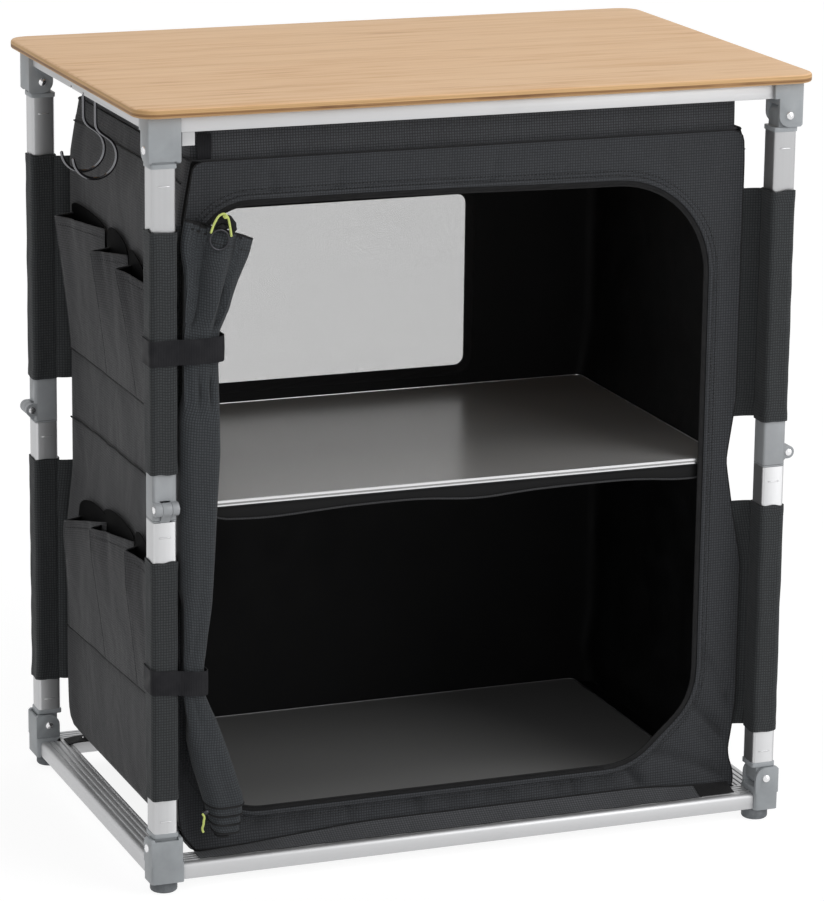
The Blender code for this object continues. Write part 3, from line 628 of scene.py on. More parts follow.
def shelf_finish():
    """Coated board: satin grey with a faint orange peel, and painted light that makes it paler towards the front."""
    f = Finish("shelf_board", rough=0.25, spec=0.85)
    where = f.at("Object")
    cloud = f.noise(where, 5.0, 2.0)
    base = f.mix(cloud, (0.185, 0.185, 0.183), (0.205, 0.205, 0.202))
    # Painted light: the board grows paler towards the front, where light comes in through the opening.
    base = f.mix(f.span(f.part(where)[1], -0.19, -0.01, 0.75, 0.0), base, (0.33, 0.33, 0.327))
    base = f.mix(f.span(f.noise(where, 900.0, 2.0), 0.5, 0.75, 0.0, 0.2), base, (0.24, 0.24, 0.236))
    return f.put(Base_Color=base, Roughness=f.calc("ADD", f.calc("MULTIPLY", cloud, 0.03), 0.235),
                 Normal=f.bump(f.noise(where, 420.0, 2.0), 0.03, 0.0003))


def bamboo_finish():
    """Strips side by side with fine fibres and faint node marks; the edge shows the layers."""
    strip, shift = 0.0208, 1.003
    f = Finish("bamboo", rough=0.55, spec=0.22)
    where = f.at("Object")
    x, y, z = f.part(where)
    across = f.calc("ADD", y, shift)
    lane = f.calc("FLOOR", f.calc("DIVIDE", across, strip))
    chance = f.node("TexWhiteNoise", {"W": lane}, noise_dimensions="1D").outputs["Value"]
    shifted = f.calc("ADD", x, f.calc("MULTIPLY", chance, 7.3))
    inside = f.node("CombineXYZ", {0: shifted, 1: y, 2: z}).outputs[0]
    fibre = f.noise(f.scaled(inside, 14.0, 560, 560), 1.0)
    streak = f.noise(f.scaled(inside, 7.0, 105, 105), 1.0, 4.0, 0.6)
    cloud = f.noise(f.scaled(where, 2.0, 8, 1), 1.0)
    base = f.mix(f.calc("MULTIPLY", chance, 0.35), (0.845, 0.56, 0.33), (0.785, 0.5, 0.275))
    base = f.mix(f.span(streak, 0.42, 0.7, 0.0, 0.6), base, (0.66, 0.37, 0.165))
    base = f.mix(f.span(streak, 0.22, 0.42, 0.35, 0.0), base, (0.87, 0.61, 0.38))
    base = f.mix(f.span(fibre, 0.48, 0.8, 0.0, 0.22), base, (0.56, 0.31, 0.14))
    base = f.mix(f.span(cloud, 0.35, 0.7, 0.0, 0.25), base, (0.85, 0.58, 0.35))
    node_at = f.span(f.calc("PINGPONG", shifted, 0.21), 0.0, 0.05, 1.0, 0.0)
    tail = f.calc("MULTIPLY", node_at, f.span(streak, 0.54, 0.7))
    base = f.mix(f.calc("MULTIPLY", tail, 0.35), base, (0.47, 0.235, 0.12))
    gap = f.lines(across, strip, 0.00035)
    base = f.mix(f.calc("MULTIPLY", gap, 0.05), base, (0.46, 0.27, 0.14))
    level = f.calc("SUBTRACT", z, TOP_Z[0])
    run = f.noise(f.scaled(where, 14, 14, 1), 1.0, 2.0)
    grain = f.noise(f.scaled(where, 7, 7, 900), 1.0)
    core = f.mix(f.span(grain, 0.35, 0.7), (0.23, 0.12, 0.052), (0.4, 0.23, 0.105))
    core = f.mix(f.span(run, 0.5, 0.7, 0.0, 0.65), core, (0.14, 0.062, 0.03))
    layer = f.calc("MULTIPLY", f.span(level, 0.0016, 0.0022), f.span(level, 0.0042, 0.0048, 1.0, 0.0))
    side = f.mix(f.span(grain, 0.3, 0.75), (0.5, 0.3, 0.135), (0.69, 0.44, 0.215))
    side = f.mix(f.span(level, 0.0006, 0.0024, 0.75, 0.0), side, (0.3, 0.16, 0.07))
    side = f.mix(layer, side, core)
    facing = f.part(f.node("NewGeometry").outputs["Normal"])[2]
    flat = f.span(f.calc("ABSOLUTE", facing), 0.4, 0.7)
    return f.put(Base_Color=f.mix(flat, side, base), Roughness=f.span(fibre, 0.3, 0.8, 0.5, 0.62),
                 Normal=f.bump(f.calc("ADD", fibre, f.calc("MULTIPLY", gap, -1.0)), 0.08, 0.0004))


def cord_finish(name, colour):
    """Braided cord: crossing strands wound round it."""
    f = Finish(name, rough=0.55, spec=0.35, sheen=0.1)
    u, v, _ = f.part(f.at("UV"))
    one, two = (f.lines(f.calc(way, v, u), 0.001, 0.0005) for way in ("ADD", "SUBTRACT"))
    braid = f.calc("MAXIMUM", one, two)
    return f.put(Base_Color=f.mix(braid, toned(colour, 0.55), colour), Normal=f.bump(braid, 0.6, 0.0004))


# The last number given to the front cloth and the door roll sets how strong their painted shade in the creases is.
RIPSTOP = cloth_finish("grey_ripstop", (0.0325, 0.0345, 0.0385), 0.06, 0.45)
# Painted light: a paler copy of the ripstop for the header, which lies in the rail's shadow, and for the hem strip on
# the front rail.
RIPSTOP_PAINTED_LIGHT = cloth_finish("grey_ripstop_painted_light", (0.058, 0.06, 0.065), 0.08)
RIPSTOP_SLEEVE = cloth_finish("grey_ripstop_sleeve", (0.03, 0.0325, 0.0345), 0.05)
RIPSTOP_ROLL = cloth_finish("grey_ripstop_door", (0.0325, 0.0362, 0.0405), 0.08, 0.65)
RIPSTOP_SIDE = cloth_finish("grey_ripstop_side", (0.0355, 0.0358, 0.0385), 0.12)
DARK_CLOTH = cloth_finish("dark_cloth", (0.01, 0.01, 0.011), 0.02)
LINING = lining_finish("black_lining", 0.15, 1.0)
# Painted shade: a much darker copy of the lining for the pockets' backs, standing in for the shadowed inside of each
# pocket.
POCKET_SHADE_LINING = lining_finish("pocket_back_painted_shade", 0.02, 0.35)
WEBBING = webbing_finish("black_webbing", (0.0065, 0.0065, 0.008))
BINDING = webbing_finish("black_binding", (0.006, 0.006, 0.0065))
THREAD = cord_finish("grey_thread", (0.055, 0.057, 0.062))
DARK_THREAD = cord_finish("dark_thread", (0.01, 0.01, 0.011))
NET = webbing_finish("net_yarn", (0.01, 0.01, 0.011))
ALU = {axis: aluminium_finish("aluminium_" + axis, axis, 0.5, 0.4) for axis in "xyz"}
RAIL = {axis: aluminium_finish("rail_" + axis, axis, 0.49, 0.54) for axis in "xy"}
EDGE_ALU = aluminium_finish("shelf_edge_aluminium", "x", 0.68, 0.3)
# Painted shade: a much darker copy of the shelf edge's aluminium for the bottom shelf, which lies low in the
# cupboard's shade.
EDGE_ALU_SHADED = aluminium_finish("low_edge_aluminium_painted_shade", "x", 0.2, 0.5)
PLASTIC = plastic_finish("grey_nylon", (0.3, 0.318, 0.333))
KNEE_PLASTIC = plastic_finish("knee_nylon", (0.29, 0.302, 0.315))
STEEL = metal_finish("bright_steel", (0.8, 0.8, 0.81), 0.22)
# Painted reflection: the hooks' chrome is given a dark colour so that it looks as if it mirrors the black cloth round
# it.
CHROME = metal_finish("hook_chrome", (0.17, 0.17, 0.18), 0.08)
RUBBER = rubber_finish()
BOARD = shelf_finish()
BAMBOO = bamboo_finish()
NEON = cord_finish("yellow_green_cord", (0.74, 0.84, 0.24))
SLIDER = metal_finish("dark_slider", (0.05, 0.05, 0.055), 0.35)

# Rigid parts: the CAD solids with softened edges and finishes by place.

def dressed(node, mats, pick=None, width=0.0005):
    """A CAD node's own shape with its edges softened; pick chooses a material for a point."""
    shape = bmesh.new()
    shape.from_mesh(NODES[node].data)
    bmesh.ops.remove_doubles(shape, verts=shape.verts, dist=TINY)
    bmesh.ops.dissolve_limit(shape, angle_limit=math.radians(0.5), verts=shape.verts, edges=shape.edges)
    for face in shape.faces:
        face.material_index = 0
    obj = made(node + "_look", shape, mats)
    modified(obj, "BEVEL", width=width, segments=2, limit_method="ANGLE", angle_limit=math.radians(32),
             use_clamp_overlap=True)
    if pick:
        for face in obj.data.polygons:
            face.material_index = int(pick(face.center))
    place(shade(obj, 35), BODY_OF[node], (node,))


def rigid_parts():
    """Every rigid node but the worktop, the shelves and the hooks."""
    for side, axis in (("front", "x"), ("rear", "x"), ("left", "y"), ("right", "y")):
        for rail in ("bottom_rail_", "top_rail_"):
            dressed(rail + side, [RAIL[axis]], None, 0.0003)
    for corner in CORNERS:
        back = corner_place(corner).inverted()

        def rivet(point):
            u, v, z = back @ point
            return abs(v) > 0.01607 and z > 0.03 and not 0.0295 < z < 0.0325

        def low_plug(point):
            return point.z < LOW_PIVOT_Z + COLLAR_FAR + 0.0002

        def high_plug(point):
            return point.z > HIGH_PIVOT_Z - COLLAR_FAR - 0.0002

        def knee_pin(point):
            u, v, z = back @ point
            return math.hypot(u - KNEE_U, z - KNEE_Z) < 0.0037 and abs(v) > 0.01185

        for end in ("bottom", "top"):
            dressed(end + "_bracket_" + corner, [PLASTIC, STEEL], rivet, 0.0006)
        dressed("foot_" + corner, [RUBBER], None, 0.0007)
        dressed("leg_lower_" + corner, [ALU["z"], PLASTIC], low_plug, 0.0004)
        dressed("leg_upper_" + corner, [ALU["z"], PLASTIC], high_plug, 0.0004)
        for half in ("lower", "upper"):
            dressed("knee_" + half + "_" + corner, [KNEE_PLASTIC, STEEL], knee_pin)
    dressed("hook_rod", [STEEL], None, 0.0002)


def small_metal():
    """Domed rivet heads on the pivots, and the crimps that hold the plugs in the tubes."""
    dome = ((0.0168, 0.0041), (0.0172, 0.004), (0.0177, 0.0034), (0.0181, 0.0024), (0.0184, 0.001))
    for corner in CORNERS:
        move = corner_place(corner)
        for kind, z, body in (("bottom", LOW_PIVOT_Z, "bottom_frame"), ("top", HIGH_PIVOT_Z, "top_frame")):
            heads = []
            for way in (-1, 1):
                path = [move @ Vector((PIVOT_U, way * v, z)) for v, _ in dome]
                heads.append(tube("head", path, [size for _, size in dome], [STEEL], 18))
            place(joined("rivets_" + kind + "_" + corner, heads), body)
        for node, heights in (("leg_lower_", (0.0746, 0.3614)), ("leg_upper_", (0.7015,))):
            marks = []
            for z in heights:
                for way in (-1, 1):
                    x, y = move.translation.x, move.translation.y + way * 0.01205
                    path = [(x + a, y, z) for a in (-0.0055, -0.002, 0.002, 0.0055)]
                    marks.append(tube("crimp", path, 0.0007, [ALU["x"]]))
            place(joined("crimps_" + node + corner, marks), BODY_OF[node + corner])


def board():
    """The worktop: a laminated board with eased edges."""
    low, top = TOP_Z
    profile = ((0.03, low), (0.0022, low), (0.0009, low + 0.0004), (0.0002, low + 0.0013), (0.0, low + 0.0024),
               (0.0, low + 0.0045), (0.0, top - 0.003), (0.0002, top - 0.0018), (0.0008, top - 0.0008),
               (0.0016, top - 0.0002), (0.0026, top), (0.03, top))
    rows = [slab(TOP_HALF, inset, max(0.004, 0.022 - inset), z, 12) for inset, z in profile]
    obj = closed_up(grid("worktop_board", rows, [BAMBOO], closed=True))
    place(obj, "top_frame", ("table_top",))


def shelf(name, node, z, body, edge):
    """A coated board held all round by a grooved aluminium edge."""
    low, top = z
    profile = ((0.0012, low + 0.0006, 0.007), (0.0012, top - 0.0004, 0.007), (0.02, top - 0.0004, 0.002))
    rows = [slab(SHELF, inset, radius, height) for inset, height, radius in profile]
    place(closed_up(grid(name + "_board", rows, [BOARD], closed=True)), body, (node,))
    mid = (low + top) / 2
    profile = ((0.003, low), (0.0006, low), (0.0, low + 0.0006), (0.0, mid - 0.0011), (0.0016, mid - 0.0009),
               (0.0016, mid + 0.0006), (0.0, mid + 0.0008), (0.0, top - 0.0006), (0.0006, top), (0.0022, top),
               (0.0024, top - 0.0006), (0.0024, low + 0.0008), (0.003, low + 0.0006))
    rows = [slab(SHELF, inset, 0.008 - inset, height) for inset, height in profile + profile[:1]]
    place(closed_up(grid(name + "_edge", rows, [edge], closed=True)), body)


def hooks():
    """Wire hooks: an eye on the rod, a stem and an open ring."""
    x, z = HOOK_ROD
    stem, up = x + HOOK_EYE, RING_CENTRE[1]
    path = [(stem, z - 0.0012), (stem, up + 0.0405), (stem, up + 0.031), (stem + 0.0012, up + 0.0275)]
    path += [(stem + 0.0038, up + 0.024), (stem + 0.0072, up + 0.0213)]
    path += arc(RING_CENTRE, RING_R, 57, -176, 40)
    for node, y in HOOK_Y.items():
        eye = [(a, y, b) for a, b in arc(HOOK_ROD, HOOK_EYE, 0, 360, 28)[:-1]]
        wire = relaxed(resample([(a, y, b) for a, b in path], 0.0016), 3)
        parts = [tube("eye", eye, HOOK_WIRE, [CHROME], 12, True), tube("stem", wire, HOOK_WIRE, [CHROME], 14)]
        place(shade(joined(node + "_look", parts), 60), BODY_OF[node], (node,))


# The cupboard's cloth.

def case_outline():
    """The front panel's outer line, as (x, z), its top corners rounded."""
    inset, low, high, r = 0.0045, 0.031, CASE_TOP_Z - 0.014, 0.012
    left, right = [], []
    for z in spread(low, high, 0.008):
        reach = sides_at(z)
        left.append((-reach[0] + inset, z))
        right.append((reach[1] - inset, z))
    right += arc((right[-1][0] - r, high + 0.0018), r, 0, 90, 6)
    left += [(2 * (left[-1][0] + r) - x, z) for x, z in arc((left[-1][0] + r, high + 0.0018), r, 0, 90, 6)]
    found = [(x, low) for x in spread(left[0][0] + 0.01, right[0][0] - 0.01, 0.01)]
    found += right
    found += [(x, high + 0.0138) for x in reversed(spread(left[-1][0] + 0.01, right[-1][0] - 0.01, 0.01))]
    return found + left[::-1]


def hit(centre, way, outline):
    """The distance from the centre to a closed outline along a direction."""
    best = None
    for (ax, az), (bx, bz) in zip(outline, outline[1:] + outline[:1]):
        ex, ez = bx - ax, bz - az
        det = way[0] * ez - way[1] * ex
        if abs(det) < 1e-12:
            continue
        px, pz = ax - centre[0], az - centre[1]
        t = (px * ez - pz * ex) / det
        s = (px * way[1] - pz * way[0]) / det
        if t > 0 and -1e-9 <= s <= 1 + 1e-9 and (best is None or t > best):
            best = t
    return best


def front_depth(x, z, around, share):
    """How far the front cloth lies behind its plane: gathers and folds, less deep before the shelves."""
    low = smooth((0.17 - z) / 0.1)
    amount = 0.0009 + 0.0042 * low + 0.0036 * (smooth((abs(x) - 0.15) / 0.08) * low)
    crease = swell(around / 0.019, share * 0.8, 3.1)
    fine = swell(around / 0.008, share * 1.5, 9.4)
    middle = math.sin(math.pi * min(1.0, share * 0.9 + 0.1))
    deep = (amount * (crease ** 1.5 * 0.75 + fine * 0.25) + 0.0013 * swell(x, z, 5.5, 0.06)) * middle
    for ax, az, bx, bz, wide, valley in FRONT_FOLDS:
        along = Vector((bx - ax, bz - az))
        t = Vector((x - ax, z - az)).dot(along) / along.length_squared
        off = (Vector((x - ax, z - az)) - along * min(1.0, max(0.0, t))).length
        deep += valley * bell(off, wide) * smooth(share / 0.15) * smooth((1 - share) / 0.15)
    by_shelf = max(bell(z - 0.034, 0.008), bell(z - 0.381, 0.012))
    room = 0.0026 + 0.006 * smooth((0.14 - z) / 0.03)
    return min(deep * (1 - 0.7 * by_shelf), room)


def opening_ring(reach, step=0.006):
    """The opening's line moved outward by reach, as (x, z), evenly spaced, from its lower right corner on.

    The cloth draws that corner straighter (pull), and the top edge rises to the left (lift).
    """
    (left, right), (low, high), (near, upper, far) = OPENING_X, OPENING_Z, OPENING_R
    ring = []
    for i, (x, z, radius) in enumerate(((right - far, low + far, far), (right - far, high - far, far),
                                        (left + upper, high - upper, upper), (left + near, low + near, near))):
        ring += arc((x, z), radius + reach, 90 * i - 90, 90 * i, 14)
    found = []
    for p in resample([(x, z, 0) for x, z in ring], closed=True, count=round(OPENING_ROUND / step)):
        turn = math.degrees(math.atan2(p.y - low - far, p.x - right + far))
        pull = 0.007 * bell(turn + 47, 20) if p.x > right - far and p.y < low + far else 0.0
        lift = 0.0045 * smooth((p.y - 0.55) / 0.1) * smooth((0.2 - p.x) / 0.32)
        turn = math.radians(turn)
        found.append((p.x - pull * math.cos(turn), p.y - pull * math.sin(turn) + lift))
    return found


def upright_uv(rows):
    """UVs that follow x and z."""
    return lambda i, j: (rows[i][j % len(rows[i])][0], rows[i][j % len(rows[i])][2])


def front_panel():
    """The front cloth round the opening, and the piping along its outer edge."""
    outer, inner = case_outline(), opening_ring(0.0)
    centre = (-0.0161, 0.368)
    turns = sorted(math.atan2(z - centre[1], x - centre[0]) for x, z in inner + outer)
    kept = [turns[0]]
    for turn in turns:
        if turn - kept[-1] > 0.004:
            kept.append(turn)
    rows = [[] for _ in range(13)]
    around, last = 0.0, None
    for turn in kept:
        way = (math.cos(turn), math.sin(turn))
        near, far = hit(centre, way, inner), hit(centre, way, outer)
        spot = Vector((centre[0] + way[0] * near, centre[1] + way[1] * near))
        around += (spot - last).length if last else 0.0
        last = spot
        for row, share in zip(rows, shares(len(rows) - 1)):
            reach = near + (far - near) * share
            x, z = centre[0] + way[0] * reach, centre[1] + way[1] * reach
            row.append((x, -CASE_HALF_Y + front_depth(x, z, around, share), z))
    cloth(grid("case_front", rows, [RIPSTOP, LINING], upright_uv(rows), closed=True, thick=0.0009, flip=True),
          replaces=("fabric_case",))
    edge = [(x, -CASE_HALF_Y + 0.0004, z) for x, z in outer]
    cloth(tube("case_piping", resample(edge, 0.006, True), 0.0008, [DARK_CLOTH], closed=True))


def opening_trim():
    """The turned edge, the zip's tape and coil, and two rows of stitches round the opening."""
    y = -CASE_HALF_Y

    def ringed(profile):
        return [[(x, y + back, z) for x, z in opening_ring(reach)] for reach, back in profile]

    rows = ringed(((0.0044, 0.0004), (0.004, -0.0002), (0.002, -0.0004), (0.0006, -0.0003), (0.0, 0.0003),
                   (0.0004, 0.0013)))
    cloth(grid("opening_edge", rows, [RIPSTOP], upright_uv(rows), closed=True, thick=0.0005))
    rows = ringed(((0.001, 0.0012), (-0.0022, 0.001), (-0.0048, 0.0012)))
    tape = grid("zip_tape", rows, [BINDING], closed=True, thick=0.0006)
    coil = tube("zip_coil", [(x, y + 0.0008, z) for x, z in opening_ring(-0.005, 0.0032)], 0.0009, [BINDING], 6, True)
    cloth(joined("opening_zip", [tape, coil]))
    for name, reach, width in (("stitches_inner", 0.0052, 0.00045), ("stitches_outer", 0.0095, 0.00055)):
        ring = ringed(((reach, 0.0002),))[0]
        cloth(stitches(name, ring, (0, -1, 0), DARK_THREAD, *LONG_STITCH, width, True))


def wall_path(z):
    """The side and rear walls at one height, from the front left corner round, as (x, y, stretch)."""
    (left, right), deep, r, end, step = sides_at(z), CASE_HALF_Y, CASE_ROUND, 0.28, 0.012
    start = math.degrees(math.asin((r - 0.0045) / r))
    along = spread(-deep + r, deep - r, 0.0095)

    def stretched(x, at, stop, reach):
        """A place between the window and the wall's end, moved with that end."""
        share = (x - at) / (stop - at)
        return at + (reach - at) * share, deep, REAR

    found = [(x, y, 0) for x, y in arc((-left + r, -deep + r), r, 180 + start, 180, 4)[:-1]]
    found += [(-left, y, LEFT) for y in along]
    found += [(x, y, 2) for x, y in arc((-left + r, deep - r), r, 180, 90, 4)[1:-1]]
    found += [stretched(x, WINDOW_X[0], -end, -left + r) for x in spread(-end, WINDOW_X[0], step)[:-1]]
    found += [(x, deep, REAR) for x in spread(*WINDOW_X, step)]
    found += [stretched(x, WINDOW_X[1], end, right - r) for x in spread(WINDOW_X[1], end, step)[1:]]
    found += [(x, y, 4) for x, y in arc((right - r, deep - r), r, 90, 0, 4)[1:-1]]
    found += [(right, y, RIGHT) for y in reversed(along)]
    found += [(x, y, 6) for x, y in arc((right - r, -deep + r), r, 0, -start, 4)[1:]]
    return found


def side_sag(y, z, side):
    """How far a side wall hangs in: long soft folds and a tuck at the shelf."""
    edge = smooth((CASE_HALF_Y - CASE_ROUND - abs(y)) / 0.03)
    sag = 0.0026 * swell(y, z * 0.3, 2.0 + side, 0.036)
    sag += 0.0014 * swell(y, z * 0.6, 12.0 + side, 0.016)
    sag += 0.0012 * swell(y, z, 7.0 + side, 0.09)
    sag += smooth(1 - abs(z - 0.384) / 0.05) * 0.0018 * swell(y, 0.0, 4.0 + side, 0.012)
    return sag * edge * smooth((z - 0.024) / 0.04)


def walls():
    """The side and rear walls in one piece, open at the window, with a brim on top."""
    levels = spread(0.03, WINDOW_Z[0], 0.009) + spread(*WINDOW_Z, 0.009)[1:] + spread(WINDOW_Z[1], 0.7178, 0.009)[1:]
    rows = []
    for z in levels:
        row = []
        for x, y, kind in wall_path(z):
            if kind in (LEFT, RIGHT):
                side = -1 if kind == LEFT else 1
                x -= side * side_sag(y, z, side)
            if kind == REAR:
                sag = 0.0014 * swell(x, z * 0.5, 11.0, 0.045)
                y -= sag * smooth((min(sides_at(z)) - abs(x)) / 0.05)
            row.append((x, y, z))
        rows.append(row)
    ref = wall_path(0.5)
    run = [0.0]
    for (ax, ay, _), (bx, by, _) in zip(ref, ref[1:]):
        run.append(run[-1] + math.hypot(bx - ax, by - ay))

    def window(i, j):
        (ax, _, a), (bx, _, b) = ref[j], ref[j + 1]
        inside_z = WINDOW_Z[0] - TINY < levels[i] and levels[i + 1] < WINDOW_Z[1] + TINY
        return inside_z and a == b == REAR and min(ax, bx) > WINDOW_X[0] - TINY and max(ax, bx) < WINDOW_X[1] + TINY

    cloth(grid("case_walls", rows, [RIPSTOP_SIDE, LINING], lambda i, j: (run[j], levels[i]), skip=window,
               thick=0.001, flip=True))
    cloth(tube("case_brim", [(x, y, 0.7176) for x, y, _ in rows[-1]], 0.0012, [RIPSTOP_SIDE], 6))


def wall_seams():
    """Raised seams across the side walls and piping down their rear corners."""
    pieces = []
    for side in (-1, 1):
        for name, z, rise in (("pockets", 0.459, 0.0), ("shelf", 0.3845, 0.0), ("low", 0.16, 0.012),
                              ("top", 0.696, 0.0)):
            path = []
            for y in reversed(spread(-0.175, 0.175, 0.007)):
                height = z + rise * (0.175 - y) / 0.35 + 0.0012 * wave(y, z, 3.0, 0.05)
                reach = side_at(height, side) + 0.0016
                if side > 0 or name in ("shelf", "top"):
                    reach -= side_sag(y, height, side)
                path.append((side * reach, y, height))
            pieces.append(tube("seam_" + name, path, 0.0009, [BINDING], 6))
        path = [(*case_corner(z, side, 1), z) for z in spread(0.034, 0.7, 0.012)]
        pieces.append(tube("corner_piping", path, 0.0009, [BINDING], 6))
    cloth(joined("case_seams", pieces))


def roof_and_header():
    """The cupboard's shoulder and the narrower header that hangs in the top rails."""
    def ring(half, r, z, seed, amount):
        found = []
        for p in resample(slab(half, 0.0, r, z, 5), closed=True, count=190):
            depth = amount * swell(p.x / 0.03, p.y / 0.03, seed + z * 14)
            if abs(p.x) / half[0] > abs(p.y) / half[1]:
                found.append((p.x - math.copysign(depth, p.x), p.y, z))
            else:
                found.append((p.x, p.y - math.copysign(depth, p.y), z))
        return found

    outer = (0.2862, 0.1855)
    rows = []
    for t in (0.0, 0.35, 0.7, 1.0):
        half = (outer[0], outer[1] + (HEADER[1] + 0.001 - outer[1]) * t)
        rows.append(ring(half, 0.011, 0.7179 + 0.001 * math.sin(math.pi * t), 1.0, 0.0))
    cloth(grid("case_shoulder", rows, [RIPSTOP, LINING], closed=True, thick=0.0008))
    rows = [ring(HEADER, 0.01, z, 4.0, 0.0024) for z in spread(0.7176, HEADER_Z, 0.0045)]
    cloth(grid("case_header", rows, [RIPSTOP_PAINTED_LIGHT, LINING], closed=True, thick=0.001))
    low, high = 0.7165, 0.743
    rows = []
    for z in spread(low, high, 0.004):
        y = -HEADER[1] - 0.0006 - 0.0016 * math.sin(math.pi * (z - low) / 0.0265)
        rows.append([(x, y, z) for x in (-0.264, -0.2685, -0.273, -0.2775)])
    cloth(grid("header_tab", rows, [WEBBING], thick=0.0012, offset=1.0, flip=True))


def floor_cloth():
    """The case's floor, just above the rails."""
    rows = []
    for y in spread(-0.185, 0.185, 0.012):
        rows.append([(x, y, 0.0303 + 0.0003 * wave(x, y, 1.0, 0.04)) for x in spread(-0.283, 0.3018, 0.014)])
    cloth(grid("case_floor", rows, [LINING, RIPSTOP], thick=0.0008))


def hem_strip():
    """The strip of the case's hem that lies on the front rail, rising to its rear line, with a black end; the strip
    takes the paler ripstop as painted light, and a black cord along its rear line is a painted shadow of the gap
    behind it.
    """
    start = -0.284

    def rise(x, most):
        return most * smooth((x - start) / 0.2) * (1 - 0.5 * smooth((x - 0.18) / 0.1))

    strips = []
    for name, end, mat, up in (("strip", (start, 0.256), RIPSTOP_PAINTED_LIGHT, 0.0),
                               ("strip_end", (0.2545, 0.2925), BINDING, 0.0009)):
        rows = []
        for t in shares(5):
            rows.append([(x, -0.206 + 0.019 * t, FLOOR_Z + up + rise(x, 0.011) * t ** 1.3
                          + 0.0004 * (1 + wave(x, t, 4.0, 0.03))) for x in spread(*end, 0.008)])
        strips.append(grid(name, rows, [mat], thick=0.0009, offset=1.0))
    # Painted shadow: a black cord where the strip meets the front cloth stands in for the shade in that gap.
    line = [(x, -0.188, 0.0306 + rise(x, 0.0108)) for x in spread(-0.28, 0.29, 0.01)]
    cloth(joined("hem_strip", [*strips, tube("strip_shadow_line", line, 0.0009, [BINDING], 6)]))


def rear_tabs():
    """The riveted tabs at the case's rear corners."""
    for side, name in ((-1, "left"), (1, "right")):
        inner = side_at(0.03, side) - 0.001
        rows = []
        for y in spread(0.163, 0.1822, 0.0048):
            rows.append([(side * (inner + (0.3085 - inner) * t), y,
                          0.031 - 0.0015 * t + 0.0008 * math.sin(math.pi * t)) for t in shares(5)])
        tab = grid("tab", rows, [BINDING], thick=0.0011, offset=1.0, flip=side < 0)
        path = [(side * (inner + 0.004), 0.175, z) for z in (0.0318, 0.0324, 0.0329, 0.0331)]
        head = tube("head", path, (0.0021, 0.002, 0.0014, 0.0005), [STEEL], 14)
        cloth(joined("rear_tab_" + name, [tab, head]))


def sling():
    """The cloth that carries the middle shelf, and its hem that sags below the shelf's front edge."""
    top = 0.3772
    rows = []
    for y in spread(-0.183, 0.183, 0.012):
        rows.append([(x, y, 0.37775) for x in spread(-0.2795, 0.2795, 0.014)])
    place(grid("shelf_sling", rows, [LINING, RIPSTOP], thick=0.0005), "middle_shelf")
    columns = spread(-0.279, 0.279, 0.006)

    def depth(x):
        scallop = 0.5 + 0.5 * math.sin(x / 0.034 + 0.9 + 1.4 * wave(x / 0.13, 0.3, 0))
        return 0.0045 + (0.005 + 0.0045 * scallop) * smooth((0.279 - abs(x)) / 0.03)

    rows = []
    for t in shares(6):
        rows.append([(x, -0.1802 - 0.001 * math.sin(math.pi * t) * (0.6 + 0.4 * wave(x / 0.05, t, 2.0)),
                      top - depth(x) * t) for x in columns])
    hem = grid("sling_hem", rows, [LINING, LINING], thick=0.0006, flip=True)
    edge = tube("sling_edge", [(x, -0.1806, top - depth(x)) for x in columns], 0.0011, [RIPSTOP_SIDE], 6)
    place(joined("sling_front", [hem, edge]), "middle_shelf", (), ((0, 0, 1), (0, 0, top), SLING_KEEP))


def window():
    """A net of crossing yarns in a flat hem."""
    (x0, x1), (z0, z1) = WINDOW_X, WINDOW_Z
    wide, deep, pitch, apart = 0.000098, 0.00008, 0.0008, 0.0001
    y = CASE_HALF_Y - 0.0012
    shape = bmesh.new()

    def strand(a, b, upright):
        first, last = [], []
        for w, d in ((wide, deep), (wide, -deep), (-wide, -deep), (-wide, deep)):
            shift = Vector((w, d, 0)) if upright else Vector((0, d, w))
            first.append(shape.verts.new(Vector(a) + shift))
            last.append(shape.verts.new(Vector(b) + shift))
        for k in range(4):
            n = (k + 1) % 4
            shape.faces.new((first[k], first[n], last[n], last[k]))

    for x in spread(x0, x1, pitch):
        strand((x, y + apart, z0), (x, y + apart, z1), True)
    for z in spread(z0, z1, pitch):
        strand((x0, y - apart, z), (x1, y - apart, z), False)
    bmesh.ops.recalc_face_normals(shape, faces=shape.faces)
    cloth(made("window_net", shape, [NET]), ("mesh_window",))

    def ringed(reach, radius, at):
        return [(x, at, z) for x, z in rounded((x0 - reach, x1 + reach), (z0 - reach, z1 + reach), radius, 5)]

    rows = []
    for reach, out in ((-0.0015, 0.0002), (0.0, 0.0004), (0.006, 0.0005), (0.0085, 0.0004), (0.0092, 0.0)):
        rows.append(ringed(reach, 0.01 + max(0.0, reach), CASE_HALF_Y + out - 0.0002))
    outside = grid("window_hem_outside", rows, [WEBBING], closed=True, thick=0.0006)
    rows = [[(x, CASE_HALF_Y - 0.0022 - (out - CASE_HALF_Y), z) for x, out, z in row] for row in rows]
    inside = grid("window_hem_inside", rows, [BINDING], closed=True, thick=0.0006)
    cloth(joined("window_hem", [outside, inside]))
    ring = ringed(0.007, 0.016, CASE_HALF_Y + 0.0003)
    cloth(stitches("stitches_window", ring, (0, 1, 0), THREAD, closed=True))


def sleeve_ring(half, z, seed):
    """A soft square ring round a leg, in its corner's frame; flat where the case lies when folded."""
    found = []
    for p in resample(slab((half, half), 0.0, 0.0046, z, 4), closed=True, count=40):
        turn = math.atan2(p.y, p.x)
        puff = 0.0006 * wave(math.cos(turn) * 1.3 + seed, math.sin(turn) * 1.3, z / 0.022)
        if p.y > 0.8 * half:
            puff = min(0.0, puff)
        found.append(p + Vector((p.x, p.y, 0)).normalized() * puff)
    return found


